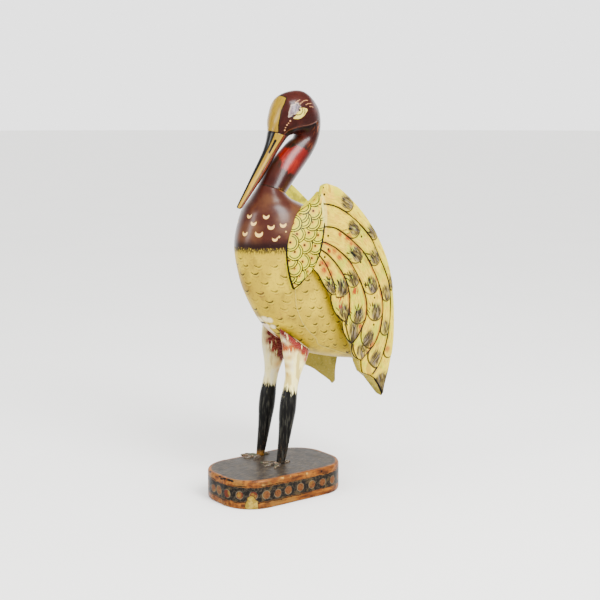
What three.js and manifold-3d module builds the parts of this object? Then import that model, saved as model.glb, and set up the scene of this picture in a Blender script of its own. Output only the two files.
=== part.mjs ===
// Wooden bird sculpture: a long-billed wading bird, carved and painted, that looks down
// along its neck and stands on an oblong plinth.
// Millimetres, +Z up. The origin is the middle of the plinth's underside.
// The bird faces -Y and its left side is towards +X.

import * as THREE from 'three';
import { mergeVertices } from 'three/addons/utils/BufferGeometryUtils.js';
import Module from 'manifold-3d';

// Driving dimensions
const PLINTH_LENGTH = 194;
const PLINTH_WIDTH = 122.5;
const PLINTH_HEIGHT = 41;
const PLINTH_CORNER = 49;
const PLINTH_ARRIS = 2.5;
const BIRD_X = -22;
const LEG_SPREAD = 26;
const THIGH_TOP = 260.5;
const THIGH_SLOPE = 0.753;
const THIGH_LEAN = 0.4;
const RIGHT_WING_FULLNESS = 12;
const FIT_GAP = 0.3;
const WING_FACE = 65;
const WING_THICKNESS = 10;
const FEATHER_THICKNESS = 6;
const FEATHER_TIP_LIFT = 2.6;
const FEATHER_ROOT_SINK = 1.2;
const TOE_LENGTH = 30;
const HIND_TOE_LENGTH = 17;
const TOE_WIDTH = 7;
const TOE_HEIGHT = 3;

// Sections of the body from the neck joint to the tail, in the bird's middle plane:
// front Y, front Z, back Y, back Z, half width.
const BODY_SECTIONS = [
  [-5.6, 443.7, 32.3, 430, 20.4],
  [-18.5, 424, 41, 423, 32],
  [-32.5, 405, 75.5, 408, 45],
  [-44.5, 361, 107, 387, 51.5],
  [-38.5, 317, 137, 358, 53],
  [-25, 282, 158, 322, 53],
  [0, 243, 172, 286, 52],
  [36, 213, 180, 252, 47],
  [76, 193.5, 185, 224, 39],
  [123, 181.5, 188, 203, 32],
  [152, 176.5, 190, 189, 27],
  [175, 169, 194, 177, 13.5],
  [179, 151, 191, 155, 11],
];

// Sections of the neck, head and bill in the same terms, each from the throat side
// to the outer side: up the neck, round the crown and down the bill to its tip.
const HEAD_SECTIONS = [
  [-5.5, 444.2, 32.6, 430.4, 20.4],
  [14, 475, 59, 460, 19.8],
  [41, 501, 81, 486, 19],
  [54.5, 509.5, 93, 509.5, 18.8],
  [57.5, 512, 95, 536, 21.5],
  [57.5, 513.2, 86, 559.5, 25.5],
  [56, 514.3, 62, 576.5, 28.6],
  [52, 514.8, 27, 568, 27.8],
  [46.5, 513.8, 12.5, 540, 23],
  [37.5, 509.5, 9, 518.5, 14.6],
  [19.6, 487, 1, 494, 9.6],
  [2.4, 461.5, -20, 458.5, 7.2],
  [-40.5, 410.5, -47.3, 413.5, 4],
];

// Sections of one leg from the plinth up into the belly:
// middle Y, Z, half depth along Y, half width along X.
const LEG_SECTIONS = [
  [9, PLINTH_HEIGHT + FIT_GAP, 6, 6],
  [12.8, 62, 7.8, 7.6],
  [16, 80, 9, 9],
  [18.8, 98, 10.6, 10.4],
  [21.2, 115, 12.2, 12],
  [23.6, 133, 12.2, 11.8],
  [26.8, 150, 10.8, 10.4],
  [31, 167, 11.4, 10.4],
  [35, 185, 16.5, 11.6],
  [37.5, 205, 22.5, 13],
  [39, 226, 25, 11],
  [40, 248, 24, 5],
];

// Sections of the shoulder leaf, the smooth panel at the front of a wing:
// front edge X, Y, Z, then back edge X, Y, Z.
const LEAF_SECTIONS = [
  [59, 56, 429, 61, 59, 436],
  [50.5, 43, 416, 63.5, 59, 423],
  [49, 23, 404, 65.5, 61, 405],
  [51, 11, 382, 66.5, 61, 386],
  [52.5, 4.5, 363, 66, 59, 369],
  [54, 3, 346, 65, 55, 350],
  [55, 5, 326, 62.5, 46, 329],
  [55, 9.5, 309, 58.5, 28, 310],
  [55, 14, 298, 55.5, 17, 299],
];

// Edges of the wing board from the shoulder to the tip: front Y, Z, then back Y, Z.
const BOARD_SECTIONS = [
  [59, 441, 69, 445.5],
  [57, 431, 92, 436],
  [50, 410, 127, 406],
  [50, 380, 156, 371],
  [51, 348, 176, 337],
  [57, 321, 187, 305],
  [73, 290, 193, 271],
  [87, 261, 195, 237],
  [101, 233, 194, 209],
  [117, 204, 190, 185],
  [133, 178, 184, 162],
  [151, 152, 177, 143],
  [166, 131, 171, 126],
];

// Feathers in rows from the wing tip up to the shoulder, each lying over the next one's root:
// root Y, Z, bend Y, Z, tip Y, Z, half width.
const FEATHERS = [
  [176, 196, 174, 161, 167, 134, 9.5],
  [140, 192, 141, 175, 143, 160, 11],
  [180, 268, 183, 224, 177, 186, 6],
  [119, 218, 123, 201, 130, 185, 10.5],
  [173, 224, 169, 196, 154, 175, 14],
  [171, 274, 178, 246, 172, 219, 9],
  [98, 253, 102, 233, 109, 214, 10.5],
  [153, 248, 148, 224, 134, 202, 16.5],
  [145, 290, 155, 265, 151, 243, 14],
  [157, 330, 172, 301, 176, 269, 9],
  [148, 366, 171, 327, 178, 274, 7],
  [88, 292, 96, 270, 95, 247, 12],
  [109, 305, 122, 275, 118, 242, 13.5],
  [122, 339, 143, 315, 148, 282, 13],
  [121, 380, 148, 357, 160, 325, 12],
  [104, 408, 130, 390, 151, 358, 9.5],
  [50, 337, 63, 320, 74, 288, 8],
  [56, 349, 77, 326, 90, 283, 10],
  [60, 359, 92, 339, 113, 294, 11],
  [62, 376, 99, 365, 126, 328, 13],
  [60, 402, 99, 403, 127, 367, 14],
  [58, 428, 84, 425, 110, 405, 12],
];

const wasm = await Module();
wasm.setup();

const paint = (color, roughness) => new THREE.MeshStandardMaterial({ color, roughness, metalness: 0 });
const YELLOW_PAINT = paint('#c9b468', 0.45);
const FEATHER_PAINT = paint('#d6c473', 0.5);
const BROWN_PAINT = paint('#5e3226', 0.25);
const LEG_PAINT = paint('#34302c', 0.5);
const PLINTH_PAINT = paint('#6b6259', 0.6);

// Smooth curve through rows of numbers, read at u from 0 to 1.
function along(rows, u) {
  const last = rows.length - 1;
  const start = Math.min(Math.floor(u * last), last - 1);
  const t = u * last - start;
  const row = (i) => rows[Math.min(Math.max(i, 0), last)];
  return row(start).map((value, k) => {
    const next = row(start + 1)[k];
    const leave = (next - row(start - 1)[k]) / 2;
    const arrive = (row(start + 2)[k] - value) / 2;
    const bend = 2 * (value - next) + leave + arrive;
    return value + t * (leave + t * (3 * (next - value) - 2 * leave - arrive + t * bend));
  });
}

// Closed solid between two rails. Each section row holds a point on either rail and the half
// thickness across them. A ring is an ellipse, or squarer with a higher power. An end is cut
// flat, or rounded off over the share of the length given for it. grow swells the whole.
function loft(sections, { stations, around, power = 2, startRound = 0, endRound = 0, grow = 0,
  shift = () => 0 }) {
  const rings = [];
  const steps = 3;
  for (let i = 0; i <= steps && startRound > 0; i += 1) {
    const angle = (Math.PI / 2) * (i / steps);
    rings.push([startRound * (1 - Math.cos(Math.PI / 2 - angle)), Math.sin(angle)]);
  }
  const first = startRound > 0 ? startRound : 0;
  for (let i = startRound > 0 ? 1 : 0; i <= stations; i += 1) {
    rings.push([first + (1 - first - endRound) * (i / stations), 1]);
  }
  for (let i = 1; i <= steps && endRound > 0; i += 1) {
    const angle = (Math.PI / 2) * (i / steps);
    rings.push([1 - endRound + endRound * Math.sin(angle), Math.cos(angle)]);
  }

  const positions = [];
  const middles = [];
  const squared = (value) => Math.sign(value) * Math.abs(value) ** (2 / power);
  for (const [u, shrink] of rings) {
    const [xa, ya, za, xb, yb, zb, half] = along(sections, u);
    const depth = Math.hypot(yb - ya, zb - za) / 2;
    const reach = shrink * (1 + grow / depth);
    middles.push([(xa + xb) / 2 + shift((ya + yb) / 2, (za + zb) / 2, u), (ya + yb) / 2, (za + zb) / 2]);
    for (let j = 0; j < around; j += 1) {
      const angle = (2 * Math.PI * j) / around;
      const c = squared(Math.cos(angle)) * reach;
      const s = squared(Math.sin(angle)) * shrink * (half + grow);
      const y = (ya + yb) / 2 + ((yb - ya) / 2) * c;
      const z = (za + zb) / 2 + ((zb - za) / 2) * c;
      positions.push((xa + xb) / 2 + ((xb - xa) / 2) * c + s + shift(y, z, u), y, z);
    }
  }

  const indices = [];
  const count = rings.length;
  for (let i = 0; i < count - 1; i += 1) {
    for (let j = 0; j < around; j += 1) {
      const a = i * around + j;
      const b = i * around + ((j + 1) % around);
      indices.push(a, b, a + around, b, b + around, a + around);
    }
  }
  const startPole = positions.length / 3;
  positions.push(...middles[0], ...middles[count - 1]);
  for (let j = 0; j < around; j += 1) {
    const next = (j + 1) % around;
    indices.push(startPole, next, j);
    indices.push(startPole + 1, (count - 1) * around + j, (count - 1) * around + next);
  }
  return geometryFrom(new Float32Array(positions), indices);
}

function geometryFrom(positions, indices) {
  const geometry = new THREE.BufferGeometry();
  geometry.setAttribute('position', new THREE.BufferAttribute(positions, 3));
  geometry.setIndex([...indices]);
  return geometry;
}

// Solid with merged corners, turned outward whichever way its triangles were wound.
function solidFrom(geometry) {
  const merged = mergeVertices(geometry, 1e-3);
  const vertProperties = merged.getAttribute('position').array;
  const corners = merged.getIndex().array;
  const corner = (i) => new THREE.Vector3().fromArray(vertProperties, 3 * corners[i]);
  const triangles = [];
  let volume = 0;
  for (let i = 0; i < corners.length; i += 3) {
    const [a, b, c] = [corners[i], corners[i + 1], corners[i + 2]];
    if (a !== b && b !== c && c !== a) {
      triangles.push(a, b, c);
      volume += corner(i).dot(corner(i + 1).cross(corner(i + 2)));
    }
  }
  const triVerts = new Uint32Array(volume > 0 ? triangles : triangles.reverse());
  return new wasm.Manifold(new wasm.Mesh({ numProp: 3, vertProperties, triVerts }));
}

function geometryOf(solid) {
  const { vertProperties, triVerts } = solid.getMesh();
  return geometryFrom(vertProperties, triVerts);
}

function named(name, geometry, material) {
  const mesh = new THREE.Mesh(geometry, material);
  mesh.name = name;
  return mesh;
}

// Section row in the middle plane, as rail points with X = 0.
const inMiddlePlane = ([ya, za, yb, zb, half]) => [0, ya, za, 0, yb, zb, half];

function makePlinth() {
  const outline = (inset) => {
    const shape = new THREE.Shape();
    const [x, y] = [PLINTH_WIDTH / 2 - inset, PLINTH_LENGTH / 2 - inset];
    const radius = PLINTH_CORNER - inset;
    shape.absarc(x - radius, y - radius, radius, 0, Math.PI / 2);
    shape.absarc(radius - x, y - radius, radius, Math.PI / 2, Math.PI);
    shape.absarc(radius - x, radius - y, radius, Math.PI, 1.5 * Math.PI);
    shape.absarc(x - radius, radius - y, radius, 1.5 * Math.PI, 2 * Math.PI);
    return shape;
  };
  const board = new THREE.ExtrudeGeometry(outline(PLINTH_ARRIS), {
    depth: PLINTH_HEIGHT - 2 * PLINTH_ARRIS,
    bevelThickness: PLINTH_ARRIS,
    bevelSize: PLINTH_ARRIS,
    bevelSegments: 2,
    curveSegments: 7,
  });
  board.translate(0, 0, PLINTH_ARRIS);
  board.deleteAttribute('normal');
  board.deleteAttribute('uv');
  return board;
}

function makeBody(grow = 0) {
  return loft(BODY_SECTIONS.map(inMiddlePlane), { stations: 24, around: 22, endRound: 0.015, grow });
}

function makeHeadAndNeck() {
  return loft(HEAD_SECTIONS.map(inMiddlePlane), { stations: 36, around: 16, endRound: 0.008 });
}

// Low ridge of one toe, lying on the plinth and pointing at the given angle from straight ahead.
function makeToe([x, y], angle, length) {
  const toe = new THREE.SphereGeometry(1, 8, 4);
  toe.deleteAttribute('normal');
  toe.deleteAttribute('uv');
  toe.scale(TOE_WIDTH / 2, length / 2, TOE_HEIGHT);
  toe.translate(0, -length / 2, 0);
  toe.rotateZ(angle);
  toe.translate(x, y, PLINTH_HEIGHT + FIT_GAP);
  return solidFrom(toe);
}

function makeLeg(side, belly) {
  const x = side * LEG_SPREAD;
  const rows = LEG_SECTIONS.map(([y, z, depth, half]) => [x, y - depth, z, x, y + depth, z, half]);
  const ankle = [x, LEG_SECTIONS[0][0]];
  let leg = solidFrom(loft(rows, { stations: 15, around: 12 }));
  for (const angle of [-0.65, 0, 0.65]) {
    leg = leg.add(makeToe(ankle, angle, TOE_LENGTH));
  }
  leg = leg.add(makeToe(ankle, Math.PI, HIND_TOE_LENGTH));
  const standing = leg.trimByPlane([0, 0, 1], PLINTH_HEIGHT + FIT_GAP);
  // The thigh ends under a plane that falls towards the tail and towards the outer side.
  const down = [-THIGH_LEAN * side, -THIGH_SLOPE, -1];
  const cut = standing.trimByPlane(down, -THIGH_TOP / Math.hypot(...down));
  return geometryOf(cut.subtract(belly));
}

// Distance of a wing's outer face from the bird's middle plane, a shallow dome.
function wingFace(y, z) {
  return WING_FACE - 3 * ((y - 120) / 70) ** 2 - 1.5 * ((z - 290) / 150) ** 2;
}

// One feather: a tongue with a round tip that rises out of the wing towards the tip.
function makeFeather([rootY, rootZ, bendY, bendZ, tipY, tipZ, width]) {
  const spine = new THREE.QuadraticBezierCurve(
    new THREE.Vector2(rootY, rootZ),
    new THREE.Vector2(bendY, bendZ),
    new THREE.Vector2(tipY, tipZ),
  );
  const tipShare = width / spine.getLength();
  const rows = [];
  const stations = [0, 0.45, 1 - tipShare, 1 - tipShare * 0.5, 1 - tipShare * 0.13];
  for (const u of stations) {
    const point = spine.getPoint(u);
    const across = spine.getTangent(u);
    const narrow = Math.sqrt(Math.max(0, 1 - (Math.max(0, u - 1 + tipShare) / tipShare) ** 2));
    const half = width * narrow * (0.75 + 0.25 * Math.min(1, u / 0.4));
    const [dy, dz] = [-across.y * half, across.x * half];
    rows.push([0, point.x - dy, point.y - dz, 0, point.x + dy, point.y + dz, FEATHER_THICKNESS / 2]);
  }
  const lift = (u) => u * (FEATHER_TIP_LIFT + FEATHER_ROOT_SINK) - FEATHER_ROOT_SINK;
  return solidFrom(loft(rows, {
    stations: rows.length - 1,
    around: 6,
    power: 2.6,
    shift: (y, z, u) => wingFace(y, z) - FEATHER_THICKNESS / 2 + lift(u),
  }));
}

// The wing of the left side. Its lower front edge can be cut fuller, towards the front.
function makeWing(body, fullness) {
  const lowest = BOARD_SECTIONS.length - 1;
  const boardRows = BOARD_SECTIONS.map(([ya, za, yb, zb], i) => {
    const fuller = fullness * Math.exp(-(((i - lowest + 1.5) / 1.6) ** 2));
    return [0, ya - fuller, za - fuller * 0.7, 0, yb - fuller * 0.8, zb, WING_THICKNESS / 2];
  });
  const board = loft(boardRows, {
    stations: 16,
    around: 8,
    power: 5,
    startRound: 0.02,
    endRound: 0.01,
    shift: (y, z) => wingFace(y, z) - WING_THICKNESS / 2,
  });
  const leafHalf = 8;
  const leafRows = LEAF_SECTIONS.map((row) => [...row, leafHalf]);
  const leaf = loft(leafRows, {
    stations: 11,
    around: 12,
    power: 5,
    startRound: 0.02,
    endRound: 0.03,
    shift: () => -leafHalf,
  });
  let wing = solidFrom(board);
  for (const feather of FEATHERS) {
    wing = wing.add(makeFeather(feather));
  }
  return wing.add(solidFrom(leaf)).subtract(body).simplify(0.05);
}

const bodyClearance = solidFrom(makeBody(FIT_GAP * 2));
const leftWing = makeWing(bodyClearance, 0);
const rightWing = makeWing(bodyClearance, RIGHT_WING_FULLNESS).mirror([1, 0, 0]);

const bird = new THREE.Group();
bird.position.x = BIRD_X;
bird.add(named('body', geometryOf(solidFrom(makeBody())), YELLOW_PAINT));
bird.add(named('head_and_neck', geometryOf(solidFrom(makeHeadAndNeck())), BROWN_PAINT));
bird.add(named('left_wing', geometryOf(leftWing), FEATHER_PAINT));
bird.add(named('right_wing', geometryOf(rightWing), FEATHER_PAINT));
bird.add(named('left_leg', makeLeg(1, bodyClearance), LEG_PAINT));
bird.add(named('right_leg', makeLeg(-1, bodyClearance), LEG_PAINT));

const sculpture = new THREE.Group();
sculpture.add(named('plinth', geometryOf(solidFrom(makePlinth())), PLINTH_PAINT));
sculpture.add(bird);

export default sculpture;
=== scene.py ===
"""Looks of a carved and painted wooden wading bird on an oblong plinth.

The bird faces -Y and its left side is towards +X. Tables are in millimetres, in the bird's
own middle plane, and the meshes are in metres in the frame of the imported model.
"""

import math

import bpy
import numpy as np
from mathutils import Matrix, Vector


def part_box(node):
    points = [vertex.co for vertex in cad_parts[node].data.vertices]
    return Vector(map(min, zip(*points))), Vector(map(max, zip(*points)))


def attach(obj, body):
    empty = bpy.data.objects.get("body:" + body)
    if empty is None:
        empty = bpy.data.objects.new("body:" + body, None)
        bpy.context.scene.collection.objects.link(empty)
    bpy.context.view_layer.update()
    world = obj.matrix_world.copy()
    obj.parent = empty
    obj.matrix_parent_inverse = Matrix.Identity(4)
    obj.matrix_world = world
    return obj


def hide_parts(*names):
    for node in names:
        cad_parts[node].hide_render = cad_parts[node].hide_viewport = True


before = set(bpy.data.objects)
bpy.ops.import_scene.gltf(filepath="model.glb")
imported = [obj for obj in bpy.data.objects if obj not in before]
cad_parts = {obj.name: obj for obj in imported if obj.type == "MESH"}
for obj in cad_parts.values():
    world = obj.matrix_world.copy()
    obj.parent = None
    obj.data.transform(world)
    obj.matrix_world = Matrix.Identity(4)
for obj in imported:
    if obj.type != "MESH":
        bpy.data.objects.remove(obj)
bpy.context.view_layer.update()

bl_info = {
    "name": "Carved Wading Bird",
    "blender": (4, 5, 0),
    "version": (1, 0, 0),
    "location": "View3D > Sidebar > Carved Bird",
    "description": "Builds a painted wooden wading bird on its plinth",
    "category": "Add Mesh",
}

MM = 0.001
FAR = 99.0
BIRD_X = sum(corner.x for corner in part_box("body")) / 2 / MM
LEG_X = sum(corner.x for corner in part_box("left_leg")) / 2 / MM - BIRD_X
PLINTH_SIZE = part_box("plinth")[1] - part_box("plinth")[0]

# Where the camera stands, in metres, and where it stands seen from the bird, in degrees.
CAMERA_PLACE = (1.3748, -0.9814, 0.5430)
CAMERA_AZIMUTH, CAMERA_ELEVATION = 53.195, 8.805
LENS, SENSOR = 72, 36

# Length round the plinth on which places along its band are counted.
BAND_LENGTH = 548.9
# Height of the top row of scallops.
SCALLOP_TOP = 346
# Distance from one row of the head to the next, for its paint: over the head, along the neck
# and at the bill, and the row where the bill begins.
HEAD_ROW_RUN, NECK_ROW_RUN, BILL_ROW_RUN = 27.0, 38, 20
BILL_ROW = 8.97

# Body from the neck joint to the tail: front Y, Z, back Y, Z, half width.
BODY_ROWS = [
    [-5.6, 443.7, 32.3, 430, 20.4], [-18.5, 424, 41, 423, 32], [-32.5, 405, 75.5, 408, 45],
    [-44.5, 361, 107, 387, 51.5], [-38.5, 317, 137, 358, 53], [-25, 282, 158, 322, 53],
    [0, 243, 172, 286, 52], [36, 213, 180, 252, 47], [76, 193.5, 185, 224, 39],
    [123, 181.5, 188, 203, 32], [152, 176.5, 190, 189, 27], [175, 169, 194, 177, 13.5],
    [179, 151, 191, 155, 11],
]

# Neck, head and bill in the same terms, from the throat side to the outer side.
HEAD_ROWS = [
    [-5.5, 444.2, 32.6, 430.4, 20.4], [14, 475, 59, 460, 19.8], [41, 501, 81, 486, 19],
    [54.5, 509.5, 93, 509.5, 18.8], [57.5, 512, 95, 536, 21.5],
    [57.5, 513.2, 86, 559.5, 25.5], [56, 514.3, 62, 576.5, 28.6],
    [52, 514.8, 27, 568, 27.8], [46.5, 513.8, 12.5, 540, 23],
    [37.5, 509.5, 9, 518.5, 14.6], [19.6, 487, 1, 494, 9.6], [2.4, 461.5, -20, 458.5, 7.2],
    [-40.5, 410.5, -47.3, 413.5, 4],
]

# One leg from the plinth up into the belly: middle Y, Z, half depth along Y, half width.
LEG_ROWS = [
    [9, 41.3, 6, 6], [12.8, 62, 7.8, 7.6], [16, 80, 9, 9], [18.8, 98, 10.6, 10.4],
    [21.2, 115, 12.2, 12], [23.6, 133, 12.2, 11.8], [26.8, 150, 10.8, 10.4],
    [31, 167, 11.4, 10.4], [35, 185, 16.5, 11.6], [37.5, 205, 22.5, 13], [39, 226, 25, 11],
    [40, 248, 24, 5],
]

# Shoulder leaf of a wing: front edge X, Y, Z, then back edge X, Y, Z.
LEAF_ROWS = [
    [59, 56, 429, 61, 59, 436], [50.5, 43, 416, 63.5, 59, 423], [49, 23, 404, 65.5, 61, 405],
    [51, 11, 382, 66.5, 61, 386], [52.5, 4.5, 363, 66, 59, 369], [54, 3, 346, 65, 55, 350],
    [55, 5, 326, 62.5, 46, 329], [55, 9.5, 309, 58.5, 28, 310], [55, 14, 298, 55.5, 17, 299],
]

# Outline of the wing's outer face: the scalloped front edge and the smooth back edge, Y, Z.
WING_TOP = [67, 446.5]
WING_TIP = [172, 125]
FRONT_EDGE = [
    [60, 442.5], [57, 431], [50, 410], [46, 380], [43, 350], [42.6, 325], [49, 319],
    [54.8, 309], [60.7, 299.6], [67.3, 291.4], [72.8, 287.6], [71.4, 286], [71.7, 280.3],
    [73.5, 273], [76.9, 264.2], [82.1, 256.5], [88.1, 249.8], [92.3, 247.8], [91.9, 243.4],
    [92.7, 237.2], [95.4, 229], [100.5, 220.5], [105.9, 213.7], [110.3, 211.8],
    [109.3, 206], [111.1, 198.3], [115.2, 191.4], [121.2, 187.4], [127.9, 184.8],
    [128, 180], [128.7, 173.7], [131, 165.3], [146.1, 159.5], [154.6, 153.9],
    [163, 143.5], [169.6, 131.5],
]
BACK_EDGE = [
    [78, 443], [92, 436], [127, 406], [156, 371], [176, 337], [187, 305], [193, 271],
    [195, 237], [194, 209], [190, 185], [184, 162], [177, 143], [174, 130],
]
# Front edge of the wing board on its inner face, where it is seen below the feathers.
INNER_EDGE = [
    [60, 442.5], [57, 431], [50, 410], [50, 380], [51, 348], [57, 321], [73, 290], [87, 261],
    [101, 233], [114, 204], [121, 182], [128, 168], [141.2, 158], [156.1, 141], [168, 128],
]

# Carved lines between the lanes of feathers, from the leaf to the edge, front lane first.
LANE_LINES = [
    [[45.2, 352], [54.1, 342.8], [61.9, 333.5], [68.5, 321], [73.8, 309.6], [77.2, 300.5],
     [78.4, 292]],
    [[46.5, 357.4], [56.7, 351.9], [67.2, 344.7], [77.8, 334.6], [88.6, 321.7],
     [95.5, 311.3], [100.5, 299.7], [103.6, 291], [105.1, 281], [104.4, 268.9],
     [103, 258.1], [98.5, 247]],
    [[51.6, 364.6], [60.7, 363.6], [69.8, 359.8], [80.5, 353.7], [95.4, 342.3],
     [106.6, 331.5], [115.1, 318.6], [123.8, 304.5], [130.5, 290.4], [135.2, 278.2],
     [137, 267.1], [136.7, 254.7], [134.5, 245.1], [128.2, 234.7], [122.1, 224.2],
     [114.4, 216.5], [107.5, 212.4]],
    [[56.9, 385.5], [68.6, 384.9], [79.2, 382.7], [88.6, 377.8], [100.9, 369.5],
     [113.6, 359.9], [127.9, 347.8], [139.8, 333.5], [148.9, 319.3], [156.6, 305.1],
     [163, 290.9], [167.5, 277], [169.4, 263.8], [169.1, 251.3], [167.7, 239],
     [164.5, 226.9], [159.7, 216.2], [153.2, 206.9], [145.1, 199.2], [137.1, 192.7],
     [128.9, 185.6]],
    [[49.4, 417.6], [61, 417.7], [70.1, 416.2], [79.4, 413.7], [88.7, 409.5],
     [99.6, 403.5], [110.8, 395.9], [122.1, 387], [133.7, 376.4], [145.6, 363.4],
     [154.7, 348.2], [164, 331.7], [172, 317.4], [178.2, 303.2], [182.8, 290],
     [185.1, 277.2], [185.7, 262.1], [185.2, 244.6], [183.4, 229.7], [181.1, 217.4],
     [177.1, 204], [172.2, 192], [167.3, 181.2], [161.6, 171.9], [155.1, 165.2],
     [149.4, 159.9]],
]

# Tips of the feathers in each lane: lane, Y, Z, share of dark paint on the tip,
# number of quick strokes above it.
FEATHER_TIPS = [
    [0, 73.5, 287, 0.8, 9], [1, 88.4, 282.5, 1.0, 9], [1, 92.9, 247.5, 0.75, 3],
    [2, 110.5, 294.5, 0.8, 11], [2, 112.8, 242.5, 0.9, 13], [2, 107.5, 212.5, 0.7, 4],
    [3, 117.5, 328.5, 0.9, 12], [3, 147, 281.5, 1.0, 12], [3, 150.4, 242, 1.0, 6],
    [3, 136.5, 202, 1.0, 0], [3, 119.5, 187, 0.6, 2], [4, 117.4, 367.5, 0.8, 5],
    [4, 155.5, 324, 0.8, 7], [4, 176, 268.5, 0.75, 0], [4, 169, 218.6, 0.6, 0],
    [4, 148.5, 174.5, 0.8, 0], [5, 105.5, 404.5, 0.8, 0], [5, 155, 363.5, 0.7, 2],
    [5, 186, 284, 0.6, 0], [5, 180, 182.5, 0.15, 0], [5, 171, 129, 0.9, 0],
]
# Washes of thin colour over the feather roots: Y, Z, radius.
ORANGE_WASH = [
    [59, 324, 9], [64, 332, 9], [55, 334, 7], [101, 368, 9], [107, 359, 6], [68, 351, 6],
    [77, 350, 8], [86, 341, 8], [70, 318, 8], [88, 374, 6], [146, 208, 9], [125, 236, 6],
    [180, 196, 7], [104, 262, 6],
]
PINK_WASH = [
    [68, 396, 10], [82, 396, 8], [71, 429, 11], [64, 362, 9], [136, 363, 9], [64, 378, 8],
    [96, 352, 6], [84, 425, 9],
]
# Small dark dots on the feather roots: Y, Z. Places with red strokes: Y, Z, how many.
ROOT_DOTS = [
    [60.5, 431.2], [66.6, 372.5], [66.5, 353.4], [60.6, 342.4], [52.2, 331.4],
    [126.4, 367.9], [125.1, 330.7], [58.6, 440.9], [152, 276], [151, 236],
]
RED_SCRIBBLES = [[115.4, 289, 16], [88.5, 278, 8], [90, 270, 3]]

# Edge of the leaf where it lies on the feathers, Y, Z.
LEAF_EDGE = [
    [56, 431], [59, 424.5], [62, 415], [63.2, 403], [63, 391], [62, 381], [60.4, 369.5],
    [59, 360], [56.5, 350], [52.6, 340.6], [48, 332.8], [41.7, 324.5], [32.8, 316.4],
    [24.1, 308.8], [16.7, 303.4], [10.6, 298.9],
]
# Middles of the painted scales on the leaf: Y, Z.
LEAF_SCALES = [
    [29.1, 396.9], [41.2, 393.2], [51.9, 392.9], [44.4, 408.5], [18.1, 376.7],
    [34.7, 378.3], [47.9, 374.8], [12.6, 352.9], [27.6, 361.5], [43.5, 359.7],
    [12.2, 329.3], [24.2, 338.5], [38.2, 342], [19.3, 318.2], [32.2, 323.5],
    [14.9, 307.1], [6.5, 318], [26.6, 404], [50.7, 424], [34, 414], [8, 366], [5, 341],
    [16, 392], [54, 407],
]

# Cream crescents and touches on the breast: X, Y, Z, radius.
BREAST_MARKS = [
    [10, -32.8, 401.3, 4.4], [31.6, -19, 401.3, 4.8], [19.7, -32.3, 391.8, 4.8],
    [38.2, -15.3, 386.9, 5.2], [45.2, 0.6, 389.3, 5], [10.1, -40.5, 377.1, 4.9],
    [28.8, -29.6, 377, 6.2], [42.3, -11.6, 370, 4.2],
]
BREAST_DOTS = [[44.6, -5.9, 373.8, 1.5], [47.2, 4, 380.8, 1.2]]

# The painted eye, seen from the side: Y, Z. The cream comma, the pale patch in front of it that is a
# painted highlight, the olive arcs, the grey strokes, the lashes and the row of dots with their
# radii.
EYE_COMMA = [
    [43.2, 551.6], [50, 551.8], [54.3, 550.9], [56.2, 549], [53.3, 545.5], [50.3, 541.2],
    [45.5, 537.6], [40.5, 536.1], [35.1, 536.2], [32.5, 537.2], [34.6, 539.6], [36.7, 540.8],
    [37.2, 542.5], [36.6, 543.7], [39.3, 545.6], [40.8, 546.8], [42.9, 548.1], [41.8, 550.2],
]
EYE_HIGHLIGHT = [
    [30.9, 556.5], [35.9, 557.1], [38.7, 559.6], [41, 559.2], [43.2, 559], [42.3, 556.5],
    [45.9, 553.8], [44, 551.9], [42.3, 548.4], [40.6, 546.2], [37.9, 545.3], [38.7, 543.6],
    [36, 542.6], [33.4, 542.1], [31.7, 541.6], [30.5, 539.7], [28.9, 538.9], [25.9, 537.9],
    [25.3, 539.7], [26.1, 542.3], [26.6, 546.2], [28.2, 550.3], [29.8, 554],
]
EYE_ARCS = [
    [[47.1, 550.3], [47.4, 546.9], [46.1, 545.2], [44.1, 543], [39.2, 541.8], [36.7, 542.7]],
    [[50.7, 549.1], [51, 546.2], [49, 542.4]],
]
EYE_GREYS = [[[40.2, 556.7], [37.4, 552.2], [35.5, 547.3]], [[44, 555.7], [43.1, 553.5]],
             [[41.8, 552.6], [40.3, 549.5]], [[31, 540.6], [33.4, 538.6]]]
EYE_LASHES = [
    [[37.9, 558.8], [42.2, 561.2], [46.8, 563.6]],
    [[44.2, 557.1], [48.5, 559.8], [51.9, 561.6], [55.9, 562.3], [59.6, 562.2]],
    [[54.1, 556.1], [57.2, 557.5], [61.5, 557.9], [66.1, 558]],
    [[60.7, 553.9], [64.5, 553.6], [68.4, 552.2]],
]
EYE_DOTS = [[28.7, 533.6, 0.9], [26.5, 530.4, 0.6], [24.9, 527.9, 0.8], [23.8, 524.2, 0.6],
            [23.8, 520.6, 0.8]]

# Fine seam line along the belly: Y, Z.
BELLY_SEAM = [[17, 304], [19.2, 296], [24.5, 270.6], [39.3, 244], [62.7, 222.5],
              [72.9, 210.6], [104.3, 198.6], [136.9, 186.9], [160, 181]]


def linear(code):
    """Scene-linear colour of an sRGB hex value."""
    parts = [int(code[i:i + 2], 16) / 255 for i in (1, 3, 5)]
    return tuple(c / 12.92 if c <= 0.04045 else ((c + 0.055) / 1.055) ** 2.4
                 for c in parts) + (1.0,)


# Settings of the panel

def shade(name, code, description):
    """Colour setting with an sRGB hex default."""
    return bpy.props.FloatVectorProperty(
        name=name, description=description, subtype="COLOR", size=4, min=0, max=1,
        default=linear(code))


def size(name, metres, description):
    """Length setting in metres."""
    return bpy.props.FloatProperty(
        name=name, description=description, unit="LENGTH", precision=4, default=metres)


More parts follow.
